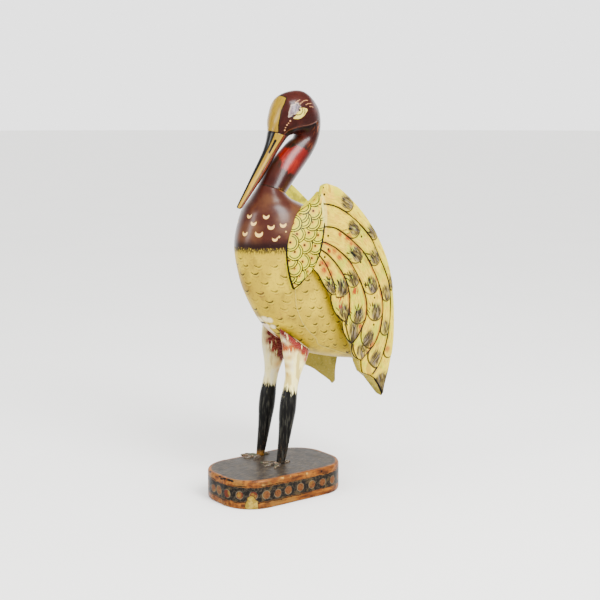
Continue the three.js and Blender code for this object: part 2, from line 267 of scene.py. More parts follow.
class PlinthSettings(bpy.types.PropertyGroup):
    length: size("Length", PLINTH_SIZE.y, "Length of the plinth")
    width: size("Width", PLINTH_SIZE.x, "Width of the plinth")
    height: size("Height", PLINTH_SIZE.z, "Height of the plinth")
    corner: size("Corner", 0.049, "Radius of the plinth's corners")
    dot_spacing: size("Dot spacing", 0.0199, "Distance between the dots on the side band")
    top: shade("Top", "#261f18", "Grey-brown stain of the top")
    rim: shade("Rim", "#643407", "Orange-brown paint of the rim and the lower band")
    band: shade("Band", "#15110e", "Dark band round the side")
    dot: shade("Dots", "#5c3414", "Dots on the dark band")


class BodySettings(bpy.types.PropertyGroup):
    brown_level: size("Brown from", 0.3575, "Height where the brown breast begins")
    scallop_spacing: size("Scallop spacing", 0.0192, "Distance between the small scallops")
    yellow: shade("Yellow", "#a58a05", "Yellow paint of the belly")
    brown: shade("Brown", "#38160e", "Brown lacquer of the breast")
    mark: shade("Marks", "#d3a95c", "Cream crescents on the breast")
    thigh_red: shade("Thigh red", "#641409", "Red of the thighs that runs onto the belly")
    scallop: shade("Scallops", "#3a3009", "Olive strokes on the belly")


class HeadSettings(bpy.types.PropertyGroup):
    brown: shade("Brown", "#2a0a06", "Brown lacquer of the head and neck")
    red: shade("Red", "#640a05", "Red band round the neck")
    ochre: shade("Ochre", "#846808", "Ochre of the forehead and the bill")
    black: shade("Black", "#0a0908", "Black of the bill's ridge and nostrils")
    eye: shade("Eye", "#c8b44c", "Cream yellow of the eye")


class WingSettings(bpy.types.PropertyGroup):
    thickness: size("Thickness", 0.010, "Thickness of the wing board")
    relief: size("Relief", 0.0014, "Height of a feather's tip over the wing's face")
    line: size("Line", 0.0011, "Half the width of the inked lines")
    fullness: size("Fullness", 0.012, "How much fuller the right wing's lower edge is")
    feather: shade("Feathers", "#d1b204", "Yellow paint of the feathers")
    ink: shade("Ink", "#0b0806", "Dark lines round the feathers")
    tip: shade("Tips", "#483a1b", "Grey-brown shading of the feather tips")
    leaf: shade("Leaf", "#c4b306", "Yellow-green paint of the shoulder leaf")


class LegSettings(bpy.types.PropertyGroup):
    spread: size("Spread", LEG_X * MM, "Distance of each leg from the middle plane")
    thigh: shade("Thigh", "#efe090", "Cream paint of the thighs")
    shin: shade("Shin", "#0a0908", "Black paint of the shins")
    # Darker red, used only on the right leg as painted shade.
    red: shade("Red", "#4f0808", "Red streaks at the top of the thighs")


class StageSettings(bpy.types.PropertyGroup):
    floor: shade("Floor", "#f4f3f0", "Pale floor")
    key: bpy.props.FloatProperty(
        name="Softbox", description="Radiance of the tall softbox", default=19.0)
    fill: bpy.props.FloatProperty(
        name="Fill", description="Strength of the shadowless front fill", default=3.75)
    horizon: bpy.props.FloatProperty(
        name="Horizon", description="Radiance of the backdrop", default=2.42)


# Shapes

def along(rows, u):
    """Uniform Catmull-Rom curve through the rows, read at every u from 0 to 1: a cubic
    between neighbours whose slope at a row is half the step between the rows around it."""
    rows = np.asarray(rows, float)
    last = len(rows) - 1
    place = np.clip(np.asarray(u, float), 0, 1) * last
    start = np.minimum(place.astype(int), last - 1)
    t = (place - start)[:, None]
    here, there = rows[start], rows[start + 1]
    leave = (there - rows[np.maximum(start - 1, 0)]) / 2
    arrive = (rows[np.minimum(start + 2, last)] - here) / 2
    return (here + t * (leave + t * (3 * (there - here) - 2 * leave - arrive
                                     + t * (2 * (here - there) + leave + arrive))))


def lofted(rows, u, across, out, shrink=1.0):
    """Rings between two rails. Each row holds a point X, Y, Z on either rail and a half
    thickness. A ring point is the rails' middle plus half their distance times across,
    and moves along X by the half thickness times out. shrink scales each ring."""
    r = along(rows, u)
    first, second, half = r[:, 0:3], r[:, 3:6], r[:, 6]
    scale = np.broadcast_to(shrink, len(r))[:, None]
    points = ((first + second) / 2)[:, None, :] + (
        ((second - first) / 2 * scale)[:, None, :] * across[None, :, None])
    points[:, :, 0] += (half[:, None] * scale) * out[None, :]
    return points


def rounded_run(count, end_round, start_round=0.0, steps=8):
    """Values of u from 0 to 1, closer together in the share at each end that is rounded
    off, and the elliptic shrink of the ring at each of them."""
    turn = np.linspace(0, math.pi / 2, steps + 1)
    start = [start_round * (1 - np.cos(turn[:-1])), np.sin(turn[:-1])] if start_round else [[], []]
    end = [1 - end_round + end_round * np.sin(turn[1:]), np.cos(turn[1:])] if end_round else [[], []]
    middle = np.linspace(start_round, 1 - end_round, count)
    u = np.concatenate([start[0], middle, end[0]])
    shrink = np.concatenate([start[1], np.ones(count), end[1]])
    return u, np.maximum(shrink, 1e-3)


def in_middle_plane(rows):
    """Section rows of the middle plane as rail points with X at 0."""
    return [[0, ya, za, 0, yb, zb, half] for ya, za, yb, zb, half in rows]


def tube(grid):
    """Closed skin over a grid of rings: a quad between neighbours, the last column joined
    to the first, and a fan of triangles to the middle of the ring at each end. Returns the
    points and the faces, turned so that the enclosed volume is positive."""
    rings, around = grid.shape[:2]
    points = np.concatenate([grid.reshape(-1, 3), grid[0].mean(0)[None], grid[-1].mean(0)[None]])
    i, j = np.meshgrid(np.arange(rings - 1), np.arange(around), indexing="ij")
    near, far = i * around + j, i * around + (j + 1) % around
    quads = np.stack([near, far, far + around, near + around], -1).reshape(-1, 4)
    j = np.arange(around)
    k = (j + 1) % around
    start = np.stack([np.full(around, rings * around), k, j], -1)
    top = (rings - 1) * around
    end = np.stack([np.full(around, rings * around + 1), top + j, top + k], -1)
    triangles = np.concatenate([start, end])
    a, b, c, d = (points[quads[:, n]] for n in range(4))
    volume = (a * np.cross(b, c)).sum() + (a * np.cross(c, d)).sum()
    if volume < 0:
        quads, triangles = quads[:, ::-1], triangles[:, ::-1]
    return points, quads, triangles


def with_poles(values):
    """A field on a grid as one value per point of its tube: the ring mean at each pole."""
    flat = values.reshape(-1, *values.shape[2:])
    return np.concatenate([flat, values[0].mean(0)[None], values[-1].mean(0)[None]])


def joined(shells):
    """Several closed skins, each with its fields, as one."""
    points, quads, triangles, fields, start = [], [], [], {}, 0
    for (shell_points, shell_quads, shell_triangles), shell_fields in shells:
        points.append(shell_points)
        quads.append(shell_quads + start)
        triangles.append(shell_triangles + start)
        start += len(shell_points)
        for name, values in shell_fields.items():
            fields.setdefault(name, []).append(values)
    merged = {name: np.concatenate(values) for name, values in fields.items()}
    return (np.concatenate(points), np.concatenate(quads), np.concatenate(triangles)), merged


def make_piece(name, shell, fields, material, nodes):
    """One mesh object from points in millimetres, with each field as a point attribute."""
    points, quads, triangles = shell
    mesh = bpy.data.meshes.new(name)
    mesh.from_pydata((points * MM).tolist(), [], quads.tolist() + triangles.tolist())
    mesh.polygons.foreach_set("use_smooth", np.ones(len(mesh.polygons), bool))
    for field, values in fields.items():
        vector = values.ndim == 2
        attribute = mesh.attributes.new(field, "FLOAT_VECTOR" if vector else "FLOAT", "POINT")
        attribute.data.foreach_set("vector" if vector else "value",
                                   values.astype(np.float32).ravel())
    mesh.materials.append(material)
    piece = bpy.data.objects.new(name, mesh)
    bpy.context.scene.collection.objects.link(piece)
    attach(piece, "root")
    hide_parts(*nodes)


# Places on a surface

def line_field(points, line, reach=200.0):
    """For each flat point: its distance to a polyline, 1 where it lies on the polyline's
    left side when the ends are drawn on straight by reach, else 0, and the direction of
    the nearest stretch."""
    line = np.asarray(line, float)
    first = line[0] - (line[1] - line[0]) / np.linalg.norm(line[1] - line[0]) * reach
    last = line[-1] + (line[-1] - line[-2]) / np.linalg.norm(line[-1] - line[-2]) * reach
    path = np.concatenate([first[None], line, last[None]])
    count = len(points)
    distance = np.full(count, 1e9)
    nearest = np.full(count, 1e9)
    side = np.zeros(count)
    heading = np.zeros((count, 2))
    for k in range(len(path) - 1):
        start, step = path[k], path[k + 1] - path[k]
        length = np.linalg.norm(step)
        rel = points - start
        t = np.clip(rel @ step / length ** 2, 0, 1)
        gap = np.hypot(*(rel - t[:, None] * step).T)
        closer = gap < nearest
        nearest = np.where(closer, gap, nearest)
        left = step[0] * rel[:, 1] - step[1] * rel[:, 0] > 0
        side = np.where(closer, left, side)
        heading[closer] = step / length
        if 0 < k < len(path) - 2:
            distance = np.minimum(distance, gap)
    return distance, side, heading


def smooth_line(line, per=6):
    """The same polyline with rounder corners."""
    return along(line, np.linspace(0, 1, per * (len(line) - 1) + 1))


def strokes_field(points, strokes):
    """Distance in millimetres from each point to the nearest of some straight strokes, less
    a taper, so that a stroke thins out towards its end. A stroke is its start and end."""
    field = np.full(len(points), FAR)
    for start, end in strokes:
        step = end - start
        rel = points - start
        t = np.clip(rel @ step / max(step @ step, 1e-9), 0, 1)
        gap = np.sqrt(((rel - t[:, None] * step) ** 2).sum(1))
        field = np.minimum(field, gap + 0.35 * t)
    return field


def outline_field(points, outline):
    """Signed distance from flat points to a closed outline, negative inside it: the distance
    to the nearest side, inside where a level ray crosses an odd number of sides."""
    outline = np.asarray(outline, float)
    distance = np.full(len(points), FAR)
    crossings = np.zeros(len(points), int)
    for start, end in zip(outline, np.roll(outline, -1, 0)):
        step, rel = end - start, points - start
        t = np.clip(rel @ step / (step @ step), 0, 1)
        distance = np.minimum(distance, np.hypot(*(rel - t[:, None] * step).T))
        passed = (start[1] > points[:, 1]) != (end[1] > points[:, 1])
        fall = step[1] if abs(step[1]) > 1e-9 else 1e-9
        crossings += passed & (rel[:, 0] < step[0] * rel[:, 1] / fall)
    return np.where(crossings % 2, -distance, distance)


def legs_of(lines):
    """The straight stretches of some polylines, each as its start and end."""
    return [(np.array(a, float), np.array(b, float))
            for line in lines for a, b in zip(line, line[1:])]


def blots(points, spots):
    """Soft round patches: 1 in the middle, fading out at each spot's radius."""
    field = np.zeros(len(points))
    for *middle, radius in spots:
        gap = ((points - np.array(middle)) ** 2).sum(1)
        field = np.maximum(field, np.exp(-gap / (0.6 * radius) ** 2))
    return field


def ramp(value, low, high):
    """Smooth step from 0 at low to 1 at high, whichever is greater."""
    t = np.clip((value - low) / (high - low), 0, 1)
    return t * t * (3 - 2 * t)


# Paint

def add(tree, kind, inputs=None, **settings):
    """Adds a node with its settings, and links or sets its inputs. A name given as an input
    stands for the point attribute of that name."""
    node = tree.nodes.new(kind)
    for name, value in settings.items():
        setattr(node, name, value)
    for socket, value in (inputs or {}).items():
        if isinstance(value, str):
            value = add(tree, "ShaderNodeAttribute", attribute_name=value).outputs["Fac"]
        if isinstance(value, bpy.types.NodeSocket):
            tree.links.new(value, node.inputs[socket])
        else:
            node.inputs[socket].default_value = value
    return node


def new_paint(name, coat, coat_roughness):
    """Material with a principled shader under a clear varnish coat."""
    material = bpy.data.materials.new(name)
    material.use_nodes = True
    tree = material.node_tree
    shader = tree.nodes["Principled BSDF"]
    shader.inputs["IOR"].default_value = 1.48
    shader.inputs["Specular IOR Level"].default_value = 0.2
    shader.inputs["Coat Weight"].default_value = coat
    shader.inputs["Coat Roughness"].default_value = coat_roughness
    shader.inputs["Coat IOR"].default_value = 1.5
    return material, tree, shader


def mask(tree, *terms):
    """Product of the terms of a mask. A term is a number, a socket, the name of a point
    attribute, or a smooth step: one of these with the value where it is 0 and where it is 1."""
    product = None
    for term in terms:
        if isinstance(term, tuple):
            value, low, high = term
            term = add(tree, "ShaderNodeMapRange", {"Value": value, 1: low, 2: high},
                       interpolation_type="SMOOTHSTEP").outputs[0]
        if product is not None:
            term = add(tree, "ShaderNodeMath", {0: product, 1: term},
                       operation="MULTIPLY").outputs[0]
        product = term
    return product


def stripe(value, at, outer, inner):
    """Terms of a mask that is 1 within inner of a value and fades out at outer."""
    return (value, at - outer, at - inner), (value, at + outer, at + inner)


def shaken(tree, value, noise, reach):
    """A value moved up and down by noise: the value plus reach times the noise less a half."""
    swing = add(tree, "ShaderNodeMath", {0: noise, 1: reach, 2: -reach / 2},
                operation="MULTIPLY_ADD").outputs[0]
    return add(tree, "ShaderNodeMath", {0: value, 1: swing}, operation="ADD").outputs[0]


def mottle(tree, vector, scale, detail=3.0, stretch=(1, 1, 1)):
    """Noise from 0 to 1. scale counts its features per unit of the vector."""
    placed = add(tree, "ShaderNodeMapping", {"Vector": vector, "Scale": stretch}).outputs[0]
    return add(tree, "ShaderNodeTexNoise",
               {"Vector": placed, "Scale": scale, "Detail": detail}).outputs["Fac"]


def laid(tree, ground, coats):
    """Coats of paint over a ground. Each is its colour and the terms of the mask that shows
    it. A colour is an sRGB hex value, a setting or a socket."""
    for colour, *terms in coats:
        under, over = (linear(c) if isinstance(c, str) else c for c in (ground, colour))
        ground = add(tree, "ShaderNodeMix", {0: mask(tree, *terms), 6: under, 7: over},
                     data_type="RGBA").outputs[2]
    return ground


def finish(tree, shader, colour, roughness, bumps):
    """Joins colour, roughness and a stack of bumps, each a height and its depth in metres."""
    tree.links.new(colour, shader.inputs["Base Color"])
    tree.links.new(roughness, shader.inputs["Roughness"])
    normal = None
    for height, depth in bumps:
        inputs = {"Height": height, "Distance": depth, "Strength": 1.0}
        if normal is not None:
            inputs["Normal"] = normal
        normal = add(tree, "ShaderNodeBump", inputs).outputs[0]
    tree.links.new(normal, shader.inputs["Normal"])


def grained(tree, vector, scale, low, high):
    """Roughness from low to high, in soft patches."""
    patches = mottle(tree, vector, scale)
    return add(tree, "ShaderNodeMapRange", {"Value": patches, 3: low, 4: high}).outputs[0]


# Plinth

def plinth_outline(length, width, radius, count):
    """Rounded oblong as points X, Y, outward directions and distance run, counted along the
    outline from the middle of the +X side: straight sides joined by quarter circles."""
    flat_y, flat_x = length / 2 - radius, width / 2 - radius
    arc = radius * math.pi / 2
    stretches = [flat_y, arc, 2 * flat_x, arc, 2 * flat_y, arc, 2 * flat_x, arc, flat_y]
    stops = np.concatenate([[0], np.cumsum(stretches)])
    s = np.linspace(0, stops[-1], count, endpoint=False)
    turn = np.interp(s, stops, np.radians([0, 0, 90, 90, 180, 180, 270, 270, 360, 360]))
    centres = np.array([[1, 0], [1, 1], [1, 1], [-1, 1], [-1, 1],
                        [-1, -1], [-1, -1], [1, -1], [1, -1], [1, 0]]) * [flat_x, flat_y]
    x, y = (np.interp(s, stops, values) for values in centres.T)
    out = np.stack([np.cos(turn), np.sin(turn)], -1)
    return np.stack([x, y], -1) + radius * out, out, s, stops[-1]


def plinth_paint(settings):
    """Stained softwood with worn oil paint: a matt grey-brown top rubbed through in places, a
    glossier orange-brown rim, and a dark band with round dabs of orange-brown."""
    material, tree, shader = new_paint("worn_painted_softwood", 0.15, 0.3)
    place = add(tree, "ShaderNodeTexCoord").outputs["Object"]
    fine = mottle(tree, place, 420)
    patch = mottle(tree, place, 45)
    mid = mottle(tree, place, 140, 4)
    grain = mottle(tree, place, 40, 5, (5, 1, 5))
    scratch = mottle(tree, place, 60, 5, (9, 1.6, 9))
    level = shaken(tree, "height", mid, 4.5)
    inward = shaken(tree, "inward", patch, 3.0)
    top = laid(tree, settings.top, [
        ("#4a3f2e", (scratch, 0.5, 0.66), 0.9),
        ("#0c0806", (scratch, 0.47, 0.36), 0.8),
        ("#5a4c38", (fine, 0.62, 0.76), 0.8),
    ])
    rim = laid(tree, settings.rim, [
        ("#8a520c", (grain, 0.46, 0.62), 0.8),
        ("#3c1c08", (grain, 0.45, 0.36), 0.8),
        ("#74501a", (patch, 0.5, 0.62), 0.6),
        ("#3a200c", (mid, 0.58, 0.70), 0.6),
        ("#1c120a", (fine, 0.64, 0.76), 0.8),
        ("#a8843c", "pale_wear", (mid, 0.4, 0.5)),
    ])
    band = laid(tree, settings.band, [
        ("#3c3428", (fine, 0.48, 0.66), 0.8),
        ("#4c3c20", (mid, 0.54, 0.66), 0.6),
    ])
    dot = shaken(tree, "dot", mid, 0.9)
    disc = laid(tree, settings.dot, [
        ("#54200c", ("dot_tone", 0.7, 0.95)),
        ("#745614", "dot_tone", (mid, 0.46, 0.66)),
        ("#2c1206", (fine, 0.5, 0.7), 0.7),
    ])
    spotted = laid(tree, band, [
        ("#5a503c", (dot, 1.0, 0.3), (mid, 0.38, 0.5)),
        (disc, (dot, 0.1, -0.6)),
    ])
    worn = shaken(tree, "yellow_wear", mid, 4.5)
    old_yellow = laid(tree, "#7c6412", [
        ("#98802c", (mid, 0.45, 0.6)),
        ("#5a4410", (fine, 0.6, 0.72)),
    ])
    colour = laid(tree, rim, [
        (spotted, (level, 10.2, 11.0), (level, 32.2, 31.2)),
        ("#160b06", *stripe(level, 9.6, 1.0, 0.3), (patch, 0.4, 0.5)),
        ("#160b06", *stripe(level, 33.0, 1.0, 0.3), (patch, 0.4, 0.5)),
        (top, (inward, 3.7, 5.7)),
        ("#3a2408", (worn, 1.2, 0.5)),
        (old_yellow, (worn, 0.5, -0.5)),
        ("#0c0907", ("chip", 0.9, 0.2)),
    ])
    finish(tree, shader, colour, grained(tree, place, 60, 0.42, 0.62),
           [(patch, 0.0006), (grain, 0.0004), (fine, 0.0002)])
    return material


class CARVING_OT_plinth(bpy.types.Operator):
    """Make the oblong plinth with its worn edges and painted band"""
    bl_idname = "carving.plinth"
    bl_label = "Plinth"

    def execute(self, context):
        settings = context.scene.carved_bird.plinth
        height = settings.height / MM
        arris = 2.5
        edge, out, run, whole = plinth_outline(
            settings.length / MM, settings.width / MM, settings.corner / MM, 620)
        # Rings from the underside up the side and in over the top: how far in, and how high.
        turn = np.linspace(0, math.pi / 2, 6)
        inset = np.concatenate([
            [40, 20, 6], arris * (1 - np.sin(turn)), np.zeros(46), arris * (1 - np.cos(turn)),
            np.linspace(3.4, 44, 46)])
        z = np.concatenate([
            [0, 0, 0], arris * (1 - np.cos(turn)), np.linspace(3, height - 3, 46),
            height - arris * (1 - np.sin(turn)), np.full(46, height)])
        wave = run / whole * 2 * math.pi
        wear = (np.sin(5 * wave + 1) + np.sin(11 * wave + 2) + np.sin(23 * wave)
                + 0.6 * np.sin(47 * wave + 0.5)) / 3
        near_edge = np.exp(-((z - height + 1.5) / 2.5) ** 2) * (inset < 12)
        inward = inset[None, :] + np.zeros(len(run))[:, None]
        depth = inward + (0.35 + 0.35 * wear)[:, None] * near_edge[None, :]
        depth += 0.25 * (1 + wear)[:, None] * np.exp(-((z - 1) / 2) ** 2)[None, :]
        grid = np.zeros((len(run), len(z), 3))
        grid[..., :2] = edge[:, None, :] - out[:, None, :] * depth[..., None]
        grid[..., 2] = z
        grid = grid.transpose(1, 0, 2)
        steps = run[None, :] + np.zeros(len(z))[:, None]
        levels = z[:, None] + np.zeros(len(run))[None, :]
        side = (inset < 3)[:, None] & np.ones(len(run), bool)[None, :]

        # Dabs on the band: every one a little off its place and its size.
        even_from, even_to = 61.7, 399.8
        gaps = round((even_to - even_from) / (settings.dot_spacing / MM))
        places = np.concatenate([[2.3, 22.9, 41.9], np.linspace(even_from, even_to, gaps + 1),
                                 [414.2, 433.2, 454.2, 473.9, 492.6, 511.8, 530.1]])
        places = places / BAND_LENGTH * whole
        count = len(places)
        dice = np.random.default_rng(7)
        rise = dice.normal(0, 0.5, count)
        radius = dice.normal(5.7, 0.3, count)
        tone = dice.uniform(0, 0.6, count)
        tone[-6:-3] = 1.0
        away = (steps[..., None] - places + whole / 2) % whole - whole / 2
        cell = np.abs(away).argmin(-1)
        off = np.take_along_axis(away, cell[..., None], -1)[..., 0]
        band_middle = 20.3
        dot = np.hypot(off, levels - band_middle - rise[cell]) - radius[cell]
        dot = np.where(side, dot, FAR)
        worn = outline_field(np.stack([steps.ravel() / whole * BAND_LENGTH, levels.ravel()], -1), [
            [463, -3], [462.5, 5], [465, 11], [466, 17], [470, 20], [474, 19], [476, 14],
            [480, 12], [481, -3]])
        worn = np.where(side, worn.reshape(steps.shape), FAR)

        points = with_poles(grid)
        chips = [[3.2, -97, 40.5, 1.3], [15.5, -96.9, 40.5, 1.6], [25.4, -95.2, 40, 1.5],
                 [30.4, -93.5, 39.5, 1.3], [-24, -95, 40, 1.2], [61, 40, 36.5, 1.0],
                 [9, -96.9, 38, 1.0]]
        pale = blots(points, [[61.2, -28.4, 40.5, 4], [61.2, -16.2, 40, 3.4],
                              [58, -60, 34, 4], [61, 14, 38, 2.5]])
        chip = np.full(len(points), FAR)
        for *middle, reach in chips:
            chip = np.minimum(chip, np.sqrt(((points - middle) ** 2 * [0.2, 1, 1]).sum(1)) - reach)
        fields = {
            "height": with_poles(levels), "dot": with_poles(dot),
            "inward": with_poles(inset[:, None] + np.zeros(len(run))[None, :]
                                 + np.where(levels < height - 0.5, -9, 0)),
            "yellow_wear": with_poles(worn), "chip": chip, "pale_wear": pale,
            "dot_tone": with_poles(tone[cell]),
        }
        make_piece("painted_plinth", tube(grid), fields, plinth_paint(settings),
                   ["plinth"])
        return {"FINISHED"}


# Body

def round_the_body(points):
    """Distance in millimetres run round the body from the middle of its front, on a level
    ellipse whose middle moves back towards the tail, and its length is summed in steps."""
    middle = 47 + (350 - points[:, 2]) * 0.42
    half_x, half_y = 52.0, 88.0
    angle = np.arctan2(points[:, 0] / half_x, -(points[:, 1] - middle) / half_y)
    steps = np.linspace(-math.pi, math.pi, 721)
    speed = np.hypot(half_x * np.cos(steps), half_y * np.sin(steps))
    pieces = (speed[1:] + speed[:-1]) / 2 * (steps[1] - steps[0])
    length = np.concatenate([[0], np.cumsum(pieces)])
    return np.interp(angle, steps, length - length[-1] / 2)


def scallop_field(run, height, spacing):
    """Distance to small U-shaped strokes in staggered level rows. Each sits in its own cell,
    a little off its place: the stroke is the lower third of a circle of about 5 mm."""
    dice = np.random.default_rng(11)
    rows, columns = 14, 60
    shifts = dice.normal(0, 1, (rows, columns, 3))
    result = np.full(len(run), FAR)
    rise = spacing * 0.66
    for look in (-1, 0):
        row = np.floor((SCALLOP_TOP - height) / rise).astype(int) - look
        inside = (row >= 0) & (row < rows)
        line = np.clip(row, 0, rows - 1)
        stagger = 0.5 * (line % 2)
        column = np.round(run / spacing - stagger).astype(int) + columns // 2
        column = np.clip(column, 0, columns - 1)
        jitter = shifts[line, column]
        x = run - (column - columns // 2 + stagger) * spacing - 1.6 * jitter[:, 0]
        y = height - (SCALLOP_TOP - line * rise) - 1.3 * jitter[:, 1]
        radius = 5.1 + 0.5 * jitter[:, 2]
        angle = np.clip(np.arctan2(x, -(y - 3)), -1.05, 1.05)
        gap = np.hypot(x - radius * np.sin(angle), y - 3 + radius * np.cos(angle))
        result = np.minimum(result, np.where(inside, gap + 0.35 * np.abs(angle), FAR))
    return result


def body_paint(settings):
    """Oil paint on carved wood under old varnish: warm yellow with soft brown and green clouds and
    thin olive strokes, and above a level edge a glossy chestnut lacquer.
    Darker patches under the wings, the breast and the tail are painted shade. Pale strokes under the
    scallops and the seam are painted highlights, and dark strokes below the scallops are painted
    shadow."""
    material, tree, shader = new_paint("varnished_oil_paint_on_wood", 0.6, 0.24)
    place = add(tree, "ShaderNodeTexCoord").outputs["Object"]
    cloud = mottle(tree, place, 28)
    wash = mottle(tree, place, 75, 4, (1, 1, 0.6))
    speck = mottle(tree, place, 300, 4)
    bristle = mottle(tree, place, 240, 3, (1, 1, 0.22))
    fringe = mottle(tree, place, 820, 2, (1, 1, 0.3))
    height = add(tree, "ShaderNodeSeparateXYZ", {0: place}).outputs[2]
    above = add(tree, "ShaderNodeMath", {0: height, 1: settings.brown_level},
                operation="SUBTRACT").outputs[0]
    uneven = add(tree, "ShaderNodeMapRange", {"Value": wash, 1: 0.36, 2: 0.54, 3: 0.3},
                 interpolation_type="SMOOTHSTEP").outputs[0]
    yellow = laid(tree, settings.yellow, [
        ("#bea207", (cloud, 0.44, 0.64), 0.8),
        ("#7e6714", (wash, 0.5, 0.72), 0.7),
        ("#7a6514", (speck, 0.5, 0.74), 0.55),
        # Painted shade: darker soft patches under the wings, the breast and the tail.
        ("#79580e", "painted_shade_below"),
        # Under each scallop: a light stroke that is a painted highlight, and a fainter dark one that
        # is a painted shadow.
        ("#c9b435", ("scallop_painted_highlight", 1.6, 0.7), 0.2),
        ("#6a4a10", ("scallop_painted_shadow", 1.3, 0.5), uneven, 0.6),
        (settings.scallop, ("scallop", 1.5, 0.8), uneven),
        ("#d8c896", (shaken(tree, "cream_wear", wash, 0.45), 0.3, 0.8)),
        ("#6a5420", ("seam", 0.9, 0.3), 0.5),
        # Pale line just below the seam: a painted highlight.
        ("#cdc262", ("seam_painted_highlight", 1.0, 0.3), 0.25),
        ("#3e3307", (above, -0.0115, -0.004), (fringe, 0.44, 0.52), 0.85),
        ("#2c200a", (above, -0.0075, -0.0005), (fringe, 0.34, 0.47)),
        ("#8c5c2a", "blush", (speck, 0.44, 0.6)),
        ("#cdb692", "thigh_pale"),
        (settings.thigh_red, "thigh_edge", (wash, 0.34, 0.5)),
        # Dark line where the thigh meets the belly: a joint line, partly painted shadow.
        ("#1c0606", ("thigh_line", 1.1, 0.5)),
    ])
    brown = laid(tree, settings.brown, [
        ("#56341c", (cloud, 0.40, 0.66), 0.7),
        ("#1a0908", (above, 0.014, 0.003), 0.9),
        ("#5a3018", (speck, 0.62, 0.85), 0.4),
        (settings.mark, ("mark", 0.35, -0.15)),
        ("#73460e", "bare", (speck, 0.4, 0.6)),
    ])
    edge = shaken(tree, above, fringe, 0.005)
    split = mask(tree, (edge, -0.0006, 0.0006))
    colour = laid(tree, yellow, [(brown, split)])
    rough = add(tree, "ShaderNodeMix", {0: split, 2: grained(tree, place, 80, 0.46, 0.6),
                                        3: grained(tree, place, 80, 0.3, 0.42)}).outputs[0]
    coat = add(tree, "ShaderNodeMath", {0: split, 1: 0.3, 2: 0.14}, operation="MULTIPLY_ADD")
    tree.links.new(coat.outputs[0], shader.inputs["Coat Weight"])
    finish(tree, shader, colour, rough, [(cloud, 0.0012), (bristle, 0.00012), (speck, 0.00008)])
    return material


